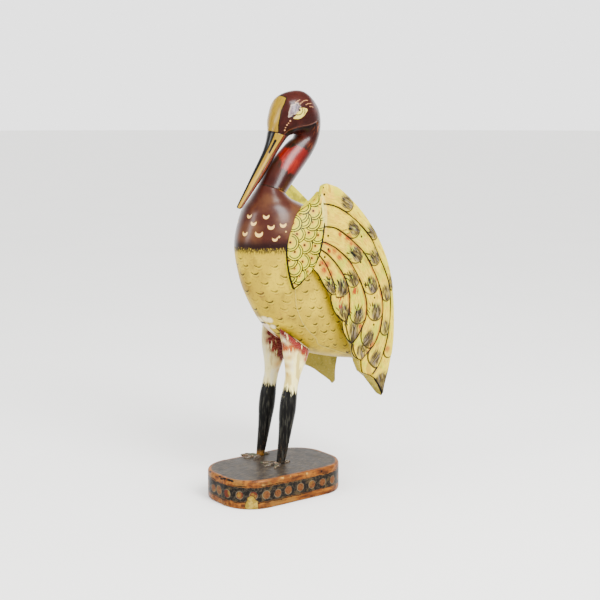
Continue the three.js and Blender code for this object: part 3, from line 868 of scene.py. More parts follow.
class CARVING_OT_body(bpy.types.Operator):
    """Make the body with its brown breast, crescents, scalloped belly and tail"""
    bl_idname = "carving.body"
    bl_label = "Body"

    def execute(self, context):
        settings = context.scene.carved_bird.body
        angle = np.linspace(0, 2 * math.pi, 300, endpoint=False)
        u, shrink = rounded_run(270, 0.015)
        grid = lofted(in_middle_plane(BODY_ROWS), u, np.cos(angle), np.sin(angle), shrink)
        points = with_poles(grid)
        side = points.copy()
        side[:, 0] = np.abs(side[:, 0])
        run = round_the_body(points)

        # A crescent is the part of one disc that a second disc, shifted up, leaves free.
        mark = np.full(len(points), FAR)
        for x, y, z, reach in BREAST_MARKS:
            radius = 0.88 * reach
            radial = np.array([x * 1.7, y - 60, 0]) / np.hypot(x * 1.7, y - 60)
            tangent = np.array([-radial[1], radial[0], 0])
            rel = side - [x, y, z]
            across, up = rel @ tangent, rel[:, 2]
            disc = np.hypot(across, up - radius * 0.35) - radius
            bite = radius * 0.92 - np.hypot(across, up - radius * 1.12)
            shown = (np.abs(rel @ radial) < 14) & ((points[:, 0] > 0) | (x > 12))
            mark = np.minimum(mark, np.maximum(disc, bite) + np.where(shown, 0, FAR))
        for x, y, z, radius in BREAST_DOTS:
            mark = np.minimum(mark, np.sqrt(((side - [x, y, z]) ** 2).sum(1)) - radius)

        seam, _, _ = line_field(points[:, 1:], smooth_line(BELLY_SEAM))
        # The pale line beside the seam is a painted highlight on its lower lip.
        seam_painted_highlight, _, _ = line_field(points[:, 1:] - [1.6, -1.2], smooth_line(BELLY_SEAM))
        lower = np.abs(points[:, 0]) > 12
        belly = (points[:, 2] < 344) & (points[:, 1] < 175)
        spacing = settings.scallop_spacing / MM
        seam_z = np.interp(points[:, 1], [p[0] for p in BELLY_SEAM], [p[1] for p in BELLY_SEAM])
        under = ramp(seam_z - points[:, 2], -1, 8) * ramp(points[:, 1], 60, 95)
        # Paint of the thighs that runs over onto the belly: a dark line and red below it. The dark
        # line is a joint line and partly painted shadow under the belly's overhang.
        near = points[:, 0] > 15
        cut_z = np.where(near, np.interp(points[:, 1], [-2, 9, 28, 51], [247.6, 238.8, 223, 206]),
                         np.interp(points[:, 1], [-4, 8, 37], [247, 239.5, 222.5]))
        below = cut_z - points[:, 2]
        on_left = (points[:, 1] > -3) & (points[:, 1] < 56) & (points[:, 0] < 46)
        on_right = (points[:, 1] > -5) & (points[:, 1] < 40) & (np.abs(points[:, 0] + 17.5) < 22.5)
        on_thigh = np.where(near, on_left, on_right)
        thigh_line = np.where(on_thigh, np.abs(below), FAR)
        overrun = on_thigh * ramp(below, -0.2, 0.8) * ramp(below, 16, 11)
        thigh_edge = overrun * np.where(near, 1, ramp(points[:, 1], 12, 20))
        thigh_pale = overrun * np.where(near, 0, 1)
        fields = {
            "mark": mark,
            "seam": np.where(lower, seam, FAR),
            "seam_painted_highlight": np.where(lower, seam_painted_highlight, FAR),
            # Painted shade under the wings, the breast and the tail.
            "painted_shade_below": 0.5 * blots(points, [[30, 95, 250, 26], [38, 70, 300, 26], [-38, 70, 300, 26],
                                         [20, 160, 195, 24], [0, -35, 300, 22]]),
            "cream_wear": np.maximum(0.35 * under, blots(points, [
                [-2, -5, 250, 9], [9, -5, 253, 9], [16, -3, 251, 8], [4, 3, 243, 8],
                [13, 6, 241, 7]]) ** 0.6),
            "blush": 0.35 * blots(points, [[-10, -38, 310, 22], [0, -30, 280, 20], [14, -46, 335, 14],
                                           [30, 10, 262, 16], [20, -25, 290, 16]]),
            "thigh_line": thigh_line, "thigh_edge": thigh_edge, "thigh_pale": thigh_pale,
            "bare": np.maximum(ramp(points[:, 1], 4, 14) * ramp(
                443 - 0.36 * points[:, 1] - points[:, 2], 4.0, 1.0),
                0.9 * blots(points, [[-4, -11.2, 428.4, 4]])),
        }
        # Each dark scallop has a painted highlight under it, a light stroke, and below that a painted
        # shadow, a faint dark echo.
        for name, drop in (("scallop", 0), ("scallop_painted_highlight", 2.1), ("scallop_painted_shadow", 4.2)):
            strokes = scallop_field(run, points[:, 2] + drop, spacing)
            fields[name] = np.where(belly, strokes + 3 * under, FAR)
        points[:, 0] += BIRD_X
        _, quads, triangles = tube(grid)
        make_piece("carved_body", (points, quads, triangles), fields, body_paint(settings),
                   ["body"])
        return {"FINISHED"}


# Head

def head_paint(settings):
    """Shellac-like brown lacquer over paint: dark chestnut that is redder on the crown, a scarlet
    band round the neck, an ochre forehead and bill, and hand-drawn eyes.
    A pale patch on each eye is a painted highlight, and the crease under the jaw is painted
    near-black as painted shade."""
    material, tree, shader = new_paint("chestnut_lacquer_on_wood", 0.5, 0.24)
    place = add(tree, "ShaderNodeTexCoord").outputs["Object"]
    cloud = mottle(tree, place, 36)
    speck = mottle(tree, place, 330, 4)
    grain = add(tree, "ShaderNodeAttribute", attribute_name="grain").outputs["Vector"]
    brush = mottle(tree, grain, 0.35, 3, (1, 0.15, 1))
    base = laid(tree, settings.brown, [
        ("#3f140c", (cloud, 0.42, 0.7), 0.8),
        ("#421508", "crown", 0.7),
        ("#3a2410", "olive", (brush, 0.3, 0.6)),
        # Near-black under the jaw: painted shade.
        ("#090707", "painted_jaw_shade"),
        ("#5c3418", (speck, 0.64, 0.85), 0.3),
        ("#171008", "band_edge", (brush, 0.36, 0.56)),
    ])
    band = laid(tree, settings.red, [
        ("#841a06", (brush, 0.46, 0.62), 0.8),
        ("#3a0506", "band_back"),
    ])
    ochre = laid(tree, settings.ochre, [
        ("#654108", (brush, 0.48, 0.7), 0.7),
        ("#ba8a18", (cloud, 0.55, 0.75), 0.7),
    ])
    red_edge = shaken(tree, "band", brush, 14.0)
    bill = laid(tree, ochre, [
        ("#96740a", ("lower_bill", -6.0, -2.0)),
        ("#5c2408", ("lower_bill", -0.2, 0.5)),
        ("#2c0c08", ("lower_bill", 2.2, 4.2)),
        (settings.black, ("culmen", 0.3, -0.3)),
        ("#241005", ("gape", 0.85, 0.35), 0.9),
        (settings.black, ("nostril", 2.2, 1.5)),
    ])
    forehead = shaken(tree, "forehead", speck, 1.2)
    # Pale lilac patch over the front of the eye: a painted highlight.
    eye_highlight_paint = laid(tree, "#75616a", [
        ("#b09c88", ("eye_highlight", -2.4, -0.8), 0.8),
        ("#3c3038", (speck, 0.48, 0.6), 0.7),
    ])
    colour = laid(tree, base, [
        (band, (red_edge, 1.6, -1.6)),
        ("#7a3a0a", "nape_wear", (brush, 0.48, 0.62)),
        ("#1c1406", (forehead, 2.4, 1.0)),
        (ochre, (forehead, 0.5, -0.5)),
        (bill, ("bill", -0.25, 0.25)),
        ("#1c0a06", ("bill_line", 0.9, 0.4)),
        ("#834f14", "bare", (speck, 0.4, 0.6)),
        ("#6a3414", ("jaw", 1.3, 0.4), 0.5),
        ("#1c1206", ("joint", 0.9, 0.4), 0.9),
        (eye_highlight_paint, ("eye_highlight", 0.25, -0.9), 0.85),
        ("#2c2c34", ("eye_grey", 1.5, 0.5), 0.85),
        (settings.eye, ("eye", 0.25, -0.35)),
        ("#c4a848", ("eye", 0.25, -0.35), ("eye", -2.0, -0.9)),
        ("#3c3a0a", ("eye_rings", 1.4, 0.6), 0.9),
        ("#0f0f10", ("pupil", 0.4, -0.4)),
        ("#c08a58", ("lashes", 0.9, 0.3), 0.85),
    ])
    finish(tree, shader, colour, grained(tree, place, 90, 0.3, 0.42),
           [(cloud, 0.0016), (brush, 0.00008), (speck, 0.00006)])
    return material


class CARVING_OT_head(bpy.types.Operator):
    """Make the neck, head and bill with the painted eyes and the scarlet band"""
    bl_idname = "carving.head"
    bl_label = "Head and neck"

    def execute(self, context):
        settings = context.scene.carved_bird.head
        angle = np.linspace(0, 2 * math.pi, 200, endpoint=False)
        u, shrink = rounded_run(420, 0.008)
        grid = lofted(in_middle_plane(HEAD_ROWS), u, np.cos(angle), np.sin(angle), shrink)
        last_row = len(HEAD_ROWS) - 1
        row = with_poles(np.repeat(u[:, None] * last_row, len(angle), 1))
        turn = with_poles(np.repeat(np.degrees(np.arccos(np.cos(angle)))[None], len(u), 0))
        points = with_poles(grid)
        side = points.copy()
        side[:, 0] = np.abs(side[:, 0])
        flat = side[:, 1:]
        half = along(HEAD_ROWS, row / last_row)[:, 4]
        per_degree = half * math.pi / 180

        forehead_edge = np.interp(
            row, [6.88, 7.24, 7.6, 8.05, 8.48, 8.96], [27, 35, 35, 40, 45, 56])
        forehead = np.maximum((turn - forehead_edge) * per_degree, (6.98 - row) * HEAD_ROW_RUN)
        gape_turn = np.interp(row, [9, 9.4, 9.8, 10.9, 11.8], [96, 96, 92, 82, 88])
        culmen_turn = np.interp(row, [8.9, 9.5, 10, 11, 12], [44, 42, 35, 28, 25])
        red_low = np.interp(turn, [60, 90, 115, 140, 175], [0.78, 0.76, 0.82, 0.95, 1.12])
        red_high = np.interp(turn, [60, 80, 100, 125, 150], [1.86, 1.9, 1.98, 2.06, 1.98])

        # The eye is drawn on both sides of the head, where the side is broad enough.
        on_side = np.where((side[:, 0] > 10) & (row > 4.6) & (row < 8.8), 0, FAR)
        lashes = strokes_field(flat, legs_of(EYE_LASHES))
        dots = np.min([np.hypot(*(flat - [y, z]).T) - radius + 0.4
                       for y, z, radius in EYE_DOTS], 0)
        jaw_line = [[24.5, 514.5], [29.5, 520.2], [36, 523.2], [50.3, 526], [64, 528.5], [76, 533]]
        jaw, above_jaw, _ = line_field(flat, smooth_line(jaw_line))
        neck_joint = 442.5 - 0.362 * points[:, 1]
        # The crease between jaw and neck is painted near-black as painted shade.
        painted_jaw_shade = (1 - above_jaw) * ramp(jaw, 0.5, 3) * ramp(14 - jaw, 0, 12)
        painted_jaw_shade *= (row > 2.6) * (row < 8.9)
        nostril = strokes_field(side, [np.array([[10.6, 12.5, 505.9], [8.0, 3.5, 489.4]])])
        past_bill = (row - BILL_ROW) * BILL_ROW_RUN
        past_low, past_high = (row - red_low) * NECK_ROW_RUN, (row - red_high) * NECK_ROW_RUN
        fields = {
            "grain": np.stack([turn * per_degree, row * HEAD_ROW_RUN, 0 * row], -1),
            "forehead": np.where(row < 9.1, forehead, FAR),
            "bill": past_bill,
            "bill_line": np.where(turn < 100, np.abs(past_bill), FAR),
            "gape": np.where(row > 8.9, np.abs(turn - gape_turn) * per_degree, FAR),
            "lower_bill": (turn - gape_turn) * per_degree,
            "culmen": (turn - culmen_turn) * per_degree,
            "nostril": nostril,
            "band": np.maximum(-past_low, past_high) + 8 * ramp(turn, 124, 150),
            "band_edge": ramp(np.abs(past_high), 12, 0) + 0.7 * ramp(np.abs(past_low), 8, 0),
            "band_back": 0.9 * ramp(turn, 100, 62),
            "crown": blots(points, [[0, 60, 576, 30]]) * ramp(turn, 90, 50),
            "painted_jaw_shade": 0.9 * painted_jaw_shade,
            "olive": np.maximum(
                0.7 * ramp(turn, 118, 150) * ramp(row, 3.2, 2.4) * ramp(row, 0.3, 1.5),
                0.8 * ramp(turn, 80, 55) * ramp(row, 1.4, 2.2) * ramp(row, 5.0, 3.6)),
            "nape_wear": np.maximum(blots(side, [[20, 79, 525, 11], [16, 74, 519, 7]]),
                                    0.4 * blots(side, [[19, 67, 497, 10]])),
            "bare": (ramp(points[:, 1], 4, 14) * ramp(points[:, 2] - neck_joint, 3.0, 0.8)
                     * (row < 1)),
            "jaw": jaw + np.where((row > 4) & (row < 9) & (side[:, 0] > 9), 0, FAR),
            "eye": outline_field(flat, EYE_COMMA) + on_side,
            "eye_highlight": outline_field(flat, EYE_HIGHLIGHT) + on_side,
            "eye_grey": strokes_field(flat, legs_of(EYE_GREYS)) + on_side,
            "eye_rings": strokes_field(flat, legs_of(EYE_ARCS)) + on_side,
            "pupil": np.hypot(*(flat - [42.3, 548.6]).T) - 1.7 + on_side,
            "lashes": np.minimum(lashes, dots) + on_side,
            "joint": np.abs(points[:, 2] - neck_joint - 0.6) + FAR * (row > 1),
        }
        # Shallow cuts: the edge of the bill, the gape and the jaw.
        cut = (0.5 * np.exp(-(fields["bill_line"] / 0.9) ** 2)
               + 0.45 * np.exp(-(fields["gape"] / 0.8) ** 2)
               + 0.8 * np.exp(-(fields["jaw"] - 2.0) ** 2 / 3.0) * (fields["jaw"] < 50)
               * (1 - above_jaw)
               + 0.7 * np.exp(-(nostril / 1.1) ** 2))
        middle = with_poles(np.repeat(grid.mean(1)[:, None], len(angle), 1))
        inward = middle - points
        inward /= np.maximum(np.linalg.norm(inward, axis=1), 1)[:, None]
        points += inward * cut[:, None]
        points[:, 0] += BIRD_X
        _, quads, triangles = tube(grid)
        make_piece("carved_head_and_neck", (points, quads, triangles), fields,
                   head_paint(settings), ["head_and_neck"])
        return {"FINISHED"}


# Wings

def wing_face(y, z):
    """Distance of a wing's outer face from the middle plane: a shallow dome."""
    return 65 - 3 * ((y - 120) / 70) ** 2 - 1.5 * ((z - 290) / 150) ** 2


# A level of the wing is constant along a line that falls by 17 in 100 towards the back.
LEVEL_Y, LEVEL_Z = 0.17, 0.985


def across_wing(line, level):
    """Y of an edge at each level."""
    line = np.asarray(line, float)
    levels = LEVEL_Y * line[:, 0] + LEVEL_Z * line[:, 1]
    return np.interp(-level, -levels, line[:, 0])


def feather_layout(points, front, back):
    """Lane, share across the lane, half its width, distance to its sides, direction of
    growth, distance to the inked lines and to the back edge at each flat point. Lanes lie
    between neighbouring carved lines."""
    lines = [smooth_line(line, 4) for line in LANE_LINES]
    found = [line_field(points, line) for line in lines]
    d_front, _, _ = line_field(points, front)
    d_back, _, back_heading = line_field(points, back)
    lane = sum(side for _, side, _ in found).astype(int)
    gaps = np.stack([d for d, _, _ in found])
    pad = np.full((1, len(points)), 1e9)
    before = np.take_along_axis(np.concatenate([pad, gaps]), lane[None], 0)[0]
    before = np.minimum(before, d_front)
    after = np.take_along_axis(np.concatenate([gaps, pad]), lane[None], 0)[0]
    after = np.minimum(after, d_back)
    flow = sum(h / (1 + d[:, None]) ** 2 for d, _, h in found)
    flow = flow + back_heading / (1 + d_back[:, None]) ** 2
    flow /= np.linalg.norm(flow, axis=1)[:, None]
    share = before / np.maximum(before + after, 1e-6)
    ink = np.minimum(gaps.min(0), d_front + np.where(points[:, 1] > 326, FAR, 0))
    return lane, share, (before + after) / 2, np.minimum(before, after), flow, ink, d_back


def fan_of_feathers(settings, fuller):
    """Board of the wing with its feathers as one height field over the outer face. Returns
    the grid of rings (outer face, back edge, inner face, front edge) and the paint fields."""
    top, tip = np.array(WING_TOP, float), np.array(WING_TIP, float)
    front = np.concatenate([top[None], FRONT_EDGE, tip[None]])
    back = np.concatenate([top[None], smooth_line(BACK_EDGE, 5), tip[None]])
    inner = np.concatenate([top[None], INNER_EDGE, tip[None]])
    rise = LEVEL_Y * top[0] + LEVEL_Z * top[1], LEVEL_Y * tip[0] + LEVEL_Z * tip[1]
    # The rings lie closer together at the top and at the tip.
    s = np.linspace(0, 1, 332)[1:-1]
    s = s - 0.9 * np.sin(2 * math.pi * s) / (2 * math.pi)
    level = rise[0] + (rise[1] - rise[0]) * s
    y_front, y_back, y_inner = (across_wing(line, level)[:, None] for line in (front, back, inner))

    outer_share = np.linspace(0, 1, 158)
    y = y_front + (y_back - y_front) * outer_share
    z = (level[:, None] - LEVEL_Y * y) / LEVEL_Z
    flat = np.stack([y, z], -1).reshape(-1, 2)
    lane, share, half, to_side, flow, line_gap, back_gap = feather_layout(flat, front, back)

    tips = np.array([t[1:3] for t in FEATHER_TIPS], float)
    tip_flow = feather_layout(tips, front, back)[4]
    above = np.full(len(flat), FAR)
    nearest_tip = np.full(len(flat), -1)
    crest = half * (1 - np.sqrt(1 - np.minimum(np.abs(2 * share - 1), 0.999) ** 2)) * 1.05
    shape = y.shape
    tip_gap = np.full(len(flat), FAR)
    # Distance between neighbours of the grid, down it and across it.
    step_down, step_across = (np.hypot(*pair) + 1e-6 for pair in zip(np.gradient(y), np.gradient(z)))
    for k, (tip_lane, *_) in enumerate(FEATHER_TIPS):
        here = lane == tip_lane
        past = (flat - tips[k]) @ tip_flow[k] + crest
        inside = here & (past <= 0) & (-past < above)
        above[inside] = -past[inside]
        nearest_tip[inside] = k
        slope = np.gradient(past.reshape(shape))
        steep = np.hypot(slope[1] / step_across, slope[0] / step_down).reshape(-1)
        gap = np.abs(past) / np.maximum(steep, 1)
        tip_gap = np.where(here & (np.abs(past) < 14), np.minimum(tip_gap, gap), tip_gap)

    lift = np.where(nearest_tip >= 0, np.clip(1 - above / 55, 0.12, 1), 0.1)
    soft_tip = np.sqrt(1 - (1 - np.clip(above / 2.2, 0, 1)) ** 2)
    soft_side = np.sqrt(1 - (1 - np.clip(to_side / 2.6, 0, 1)) ** 2)
    rim_gap = np.minimum(line_field(flat, front)[0], back_gap)
    soft_rim = 1.3 * (1 - np.sqrt(1 - (1 - np.clip(rim_gap / 1.6, 0, 1)) ** 2))
    relief = -0.5 + (settings.relief / MM + 0.5) * lift * soft_tip * soft_side
    relief += 0.4 * (1 - (2 * share - 1) ** 2) * soft_side - soft_rim
    x = (wing_face(flat[:, 0], flat[:, 1]) + relief).reshape(shape)
    outer = np.stack([x, y, z], -1)

    # Strokes of the brush: a dark and a pale tuft above each tip, and short red ones.
    dice = np.random.default_rng(5)
    dark_strokes, pale_strokes, red = [], [], []
    for k, (*_, count) in enumerate(FEATHER_TIPS):
        here = np.flatnonzero(nearest_tip == k)
        if not count or not len(here):
            continue
        start = here[np.argmin(np.abs(above[here] - 13) + 14 * np.abs(share[here] - 0.5))]
        ahead, width = flow[start], half[start]
        sideways = np.array([-ahead[1], ahead[0]])
        for n in range(round(count * 1.6)):
            pale = n >= count
            offset = dice.uniform(-0.75, 0.45)
            foot = flat[start] + sideways * offset * width - ahead * dice.uniform(-2, 11)
            lean = math.radians(60 * offset + dice.normal(0, 10))
            way = -ahead * math.cos(lean) + sideways * math.sin(lean)
            (pale_strokes if pale else dark_strokes).append((foot, foot + way * dice.uniform(4, 7)))
    for ry, rz, count in RED_SCRIBBLES:
        for _ in range(count):
            foot = np.array([ry, rz]) + dice.uniform(-1, 1, 2) * [5, 5]
            red.append((foot, foot + dice.normal(0, 0.5, 2) + [-0.5, 4.6]))

    # Tips: an oval of dry shading that fades towards the root.
    strength = np.array([t[3] for t in FEATHER_TIPS] + [0.0])[nearest_tip]
    off_middle = np.abs(2 * share - 1 - 0.15) * np.clip(half / 9, 1, 2)
    oval = np.hypot(off_middle / 1.1, (above - 8.5) / np.where(above < 8.5, 9.5, 18))
    dark = strength * ramp(above, -0.2, 0.8) * (1 - ramp(oval, 0.45, 1.3))
    last = (flat[:, 0] - 160) + 0.55 * (158 - flat[:, 1])
    dark = np.maximum(dark, 0.85 * ramp(last, -8, 6) * ramp(flat[:, 1], 170, 150))
    dots = strokes_field(flat, [np.array([d, d], float) for d in ROOT_DOTS]) - 0.9
    edge_gap, _, _ = line_field(flat, smooth_line(LEAF_EDGE))
    near_back = ramp((1 - share) * 2 * half, 5.0, 0.8) * ramp(above, 60, 25)
    near_back = near_back * ((lane >= 1) & (lane <= 3))
    over_leaf = ramp(edge_gap, 9, 2) * ramp(flat[:, 1], 368, 385)
    fields = {
        "grain": np.stack([(2 * share - 1) * half, above, lane * 40.0 + nearest_tip * 7], -1),
        "line": line_gap, "tip_line": tip_gap, "tip_shade": dark, "inner": np.zeros(len(flat)),
        "strokes": np.minimum(strokes_field(flat, dark_strokes), dots),
        "pale_strokes": strokes_field(flat, pale_strokes),
        "red_strokes": strokes_field(flat, red),
        "orange": np.maximum(1.3 * blots(flat, ORANGE_WASH), 0.9 * near_back),
        "pink": np.maximum(blots(flat, PINK_WASH), 0.9 * over_leaf),
        # Paler towards the back edge: a painted highlight of the rounded edge.
        "pale": ramp(back_gap, 16, 1),
        "leaf": np.zeros(len(flat)), "scale": np.full(len(flat), FAR),
        # Pale band by the top of the leaf's edge: a painted highlight.
        "white": 0.55 * ramp(edge_gap, 3, 0.5) * ramp(flat[:, 1], 372, 390),
    }

    # The inner face is the plain back of the board, and the edges join the two.
    thickness = settings.thickness / MM
    inner_share = np.linspace(1, 0, 26)
    y_in = y_inner + (y_back - y_inner) * inner_share
    z_in = (level[:, None] - LEVEL_Y * y_in) / LEVEL_Z
    x_in = wing_face(y_in, z_in) - thickness
    inside = np.stack([x_in, y_in, z_in], -1)
    ends = np.clip(np.minimum(s, 1 - s) / 0.012, 0, 1)
    thin = np.sqrt(1 - (1 - ends) ** 2)[:, None]

    def edge(start, end, bulge):
        """Five columns from one face to the other, slightly bowed outward."""
        t = np.linspace(0, 1, 7)[None, 1:-1, None]
        strip = start[:, None] * (1 - t) + end[:, None] * t
        strip[..., 1] += bulge * np.sin(math.pi * t[..., 0])
        return strip

    whole = np.concatenate([outer, edge(outer[:, -1], inside[:, 0], 0.8), inside,
                            edge(inside[:, -1], outer[:, 0], -0.4)], 1)
    middle_x = whole[..., 0].mean(1, keepdims=True)
    whole[..., 0] = middle_x + (whole[..., 0] - middle_x) * thin
    push = fuller * np.exp(-((level - 196) / 34) ** 2)[:, None]
    reach = np.clip((whole[..., 1] - y_front) / np.maximum(y_back - y_front, 1), 0, 1)
    whole[..., 1] -= push * (1 - 0.2 * reach)
    whole[..., 2] -= 0.7 * push * (1 - reach)
    plain = dict.fromkeys(
        ("line", "tip_line", "strokes", "pale_strokes", "red_strokes", "scale"), FAR)
    columns = whole.shape[1]
    for name, values in fields.items():
        values = values.reshape(shape + values.shape[1:])
        rest = np.full((shape[0], columns - shape[1]) + values.shape[2:], plain.get(name, 0.0))
        if name == "inner":
            rest[:] = 1.0
        if name == "grain":
            rest = whole[:, shape[1]:, [1, 2, 0]]
        fields[name] = with_poles(np.concatenate([values, rest], 1))
    return whole, fields


def shoulder_leaf():
    """The leaf-shaped panel at the front of the wing: rings across it are superellipses of
    power 5, painted on the outer side with overlapping scales."""
    outer, inner = np.linspace(1, -1, 122), np.linspace(-1, 1, 22)[1:-1]
    across = np.sin(np.concatenate([outer, inner]) * math.pi / 2)
    out = (1 - np.abs(across) ** 5) ** 0.2
    out[len(outer):] *= -1
    u, shrink = rounded_run(200, 0.03, 0.02, 6)
    half = 8
    rows = [[*row, half] for row in LEAF_ROWS]
    grid = lofted(rows, u, across, out, shrink)
    grid[..., 0] -= half
    points = with_poles(grid)
    share = with_poles(np.repeat(across[None], len(u), 0))
    outside = with_poles(np.repeat(out[None], len(u), 0)) > 0.02
    station = with_poles(np.repeat(u[:, None], grid.shape[1], 1))
    width = np.linalg.norm(grid[:, 0] - grid[:, len(outer) - 1], axis=1) / 2
    width = with_poles(np.repeat(width[:, None], grid.shape[1], 1))

    # Scales overlap like tiles: the upper front ones lie over the lower back ones, and each
    # shows the arcs of its lower back side.
    radius = 13.2
    scale = np.full(len(points), FAR)
    for y, z in sorted(LEAF_SCALES, key=lambda m: m[1] * 0.75 - m[0]):
        seat = points[outside][np.argmin(np.hypot(points[outside, 1] - y, points[outside, 2] - z))]
        rel = points - seat
        gap = np.sqrt((rel ** 2).sum(1))
        facing = (rel @ [0, 0.8, -0.6]) > -0.35 * gap
        scale = np.where((gap < radius) & (facing | (gap < 5)), gap, scale)
    to_back, to_front = (1 - share) * width, (1 + share) * width
    edge_gap, _, _ = line_field(points[:, 1:], smooth_line(LEAF_EDGE))
    rim = np.maximum(to_back - 0.13 * width, 0) + 0.15 * np.maximum(points[:, 2] - 384, 0)
    rim = np.minimum(rim, edge_gap + 0.15 * np.maximum(points[:, 2] - 384, 0))
    front_rim = to_front + 0.2 + 0.04 * np.maximum(points[:, 2] - 395, 0)
    line = np.minimum(np.minimum(rim, front_rim), (1 - station) * 150)
    far = np.full(len(points), FAR)
    none = np.zeros(len(points))
    fields = {
        "grain": points[:, [1, 2, 0]],
        "line": np.where(outside, line, FAR), "tip_line": far, "tip_shade": none, "inner": none,
        "strokes": far, "pale_strokes": far, "red_strokes": far, "orange": none, "pink": none,
        "pale": none, "leaf": np.ones(len(points)), "scale": np.where(outside, scale, FAR),
        # Pale band on the top of the leaf's back ridge: a painted highlight.
        "white": outside * 0.7 * ramp(to_back, 7, 3) * ramp(points[:, 2], 372, 390),
    }
    return grid, fields


def wing_paint(settings):
    """Oil paint brushed on thinly in the direction of each feather and drawn over with ink: warm
    yellow, grey-brown tips in dry strokes, orange and pink washes at the roots.
    A pale band on the leaf's ridge and paler paint along the back edge are painted highlights; darker
    olive beside the carved lines and on the low part of the inner face is painted shade."""
    material, tree, shader = new_paint("brushed_feather_paint", 0.12, 0.35)
    place = add(tree, "ShaderNodeTexCoord").outputs["Object"]
    grain = add(tree, "ShaderNodeAttribute", attribute_name="grain").outputs["Vector"]
    cloud = mottle(tree, place, 40)
    speck = mottle(tree, place, 380, 4)
    streak = mottle(tree, grain, 0.85, 3, (1, 0.14, 1))
    broad = mottle(tree, grain, 0.3, 2, (1, 0.25, 1))
    dry = shaken(tree, "tip_shade", streak, 1.6)
    tip = laid(tree, settings.tip, [
        ("#6c5e50", (broad, 0.48, 0.62), 0.8),
        ("#8a7a3a", (streak, 0.46, 0.38), 0.6),
        ("#26220f", (streak, 0.52, 0.62), 0.9),
        ("#1b1107", (dry, 0.9, 1.2), 0.7),
    ])
    line = shaken(tree, "line", speck, 0.5)
    half_line = settings.line / MM
    scale = shaken(tree, "scale", speck, 0.4)
    height = add(tree, "ShaderNodeSeparateXYZ", {0: place}).outputs[2]
    # The inner face is darker low down and lighter high up: painted shade and painted light.
    inner = laid(tree, "#8c7c24", [
        ("#d0c40c", (height, 0.28, 0.42)),
        ("#5a5208", (cloud, 0.50, 0.62), 0.6),
        ("#a89a50", (speck, 0.5, 0.7), 0.4),
    ])
    feathers = laid(tree, settings.feather, [
        ("#ac8a04", (broad, 0.48, 0.62), 0.7),
        ("#93a005", (cloud, 0.5, 0.64), 0.7),
        ("#d1c31d", (streak, 0.54, 0.66), 0.5),
        # Paler along the back edge: a painted highlight.
        ("#d1bf1e", "pale", 0.7),
        ("#cc862c", "pink", 0.5, (streak, 0.38, 0.56)),
        # Darker olive beside each carved line: painted shade.
        ("#7c6a0c", ("line", 5.0, 0.8), (streak, 0.36, 0.56), 0.55),
        ("#92600c", (broad, 0.46, 0.36), 0.55),
        ("#a8962c", ("tip_shade", 0.02, 0.3), 0.5),
        ("#9c5a04", "orange", (streak, 0.28, 0.42)),
        ("#8a2a07", "orange", (streak, 0.50, 0.60)),
        (tip, (dry, 0.12, 0.7), ("tip_shade", 0.04, 0.4)),
        ("#aebc0e", ("pale_strokes", 1.0, 0.45), 0.7),
        ("#860904", ("red_strokes", 1.1, 0.6), 0.9),
        ("#1c1508", ("tip_line", 1.4, 0.8), 0.9),
        ("#0b1007", ("strokes", 1.15, 0.6)),
        (inner, "inner"),
    ])
    leaf = laid(tree, settings.leaf, [
        ("#a88e06", (cloud, 0.45, 0.65), 0.7),
        ("#8e9a08", (speck, 0.48, 0.62), 0.6),
        ("#c49208", (scale, 7.5, 3.5), 0.5),
        ("#0f2c16", *stripe(scale, 9.2, 1.0, 0.6), 0.95),
        ("#030805", *stripe(scale, 12.6, 1.25, 0.85)),
        ("#a05c0a", (scale, 3.4, 2.2), 0.5),
        ("#2c0c05", (scale, 2.0, 1.4)),
    ])
    colour = laid(tree, feathers, [
        (leaf, "leaf"),
        # Painted highlight on the leaf's ridge.
        ("#d1c66e", "white", 0.9),
        (settings.ink, (line, half_line + 0.3, half_line - 0.3)),
    ])
    finish(tree, shader, colour, grained(tree, place, 90, 0.4, 0.55),
           [(cloud, 0.0008), (streak, 0.00015), (speck, 0.00008)])
    return material


class CARVING_OT_wings(bpy.types.Operator):
    """Make both wings: a fan of feathers on a board, with the leaf over its root"""
    bl_idname = "carving.wings"
    bl_label = "Wings"

    def execute(self, context):
        settings = context.scene.carved_bird.wing
        material = wing_paint(settings)
        leaf_grid, leaf_fields = shoulder_leaf()
        for name, sign, fuller in (("left_wing", 1, 0), ("right_wing", -1, settings.fullness / MM)):
            fan_grid, fan_fields = fan_of_feathers(settings, fuller)
            shells = []
            for grid, fields in ((fan_grid, fan_fields), (leaf_grid, leaf_fields)):
                shells.append((tube(grid * [sign, 1, 1] + [BIRD_X, 0, 0]), fields))
            shell, merged = joined(shells)
            make_piece("carved_" + name, shell, merged, material, [name])
        return {"FINISHED"}


# Legs

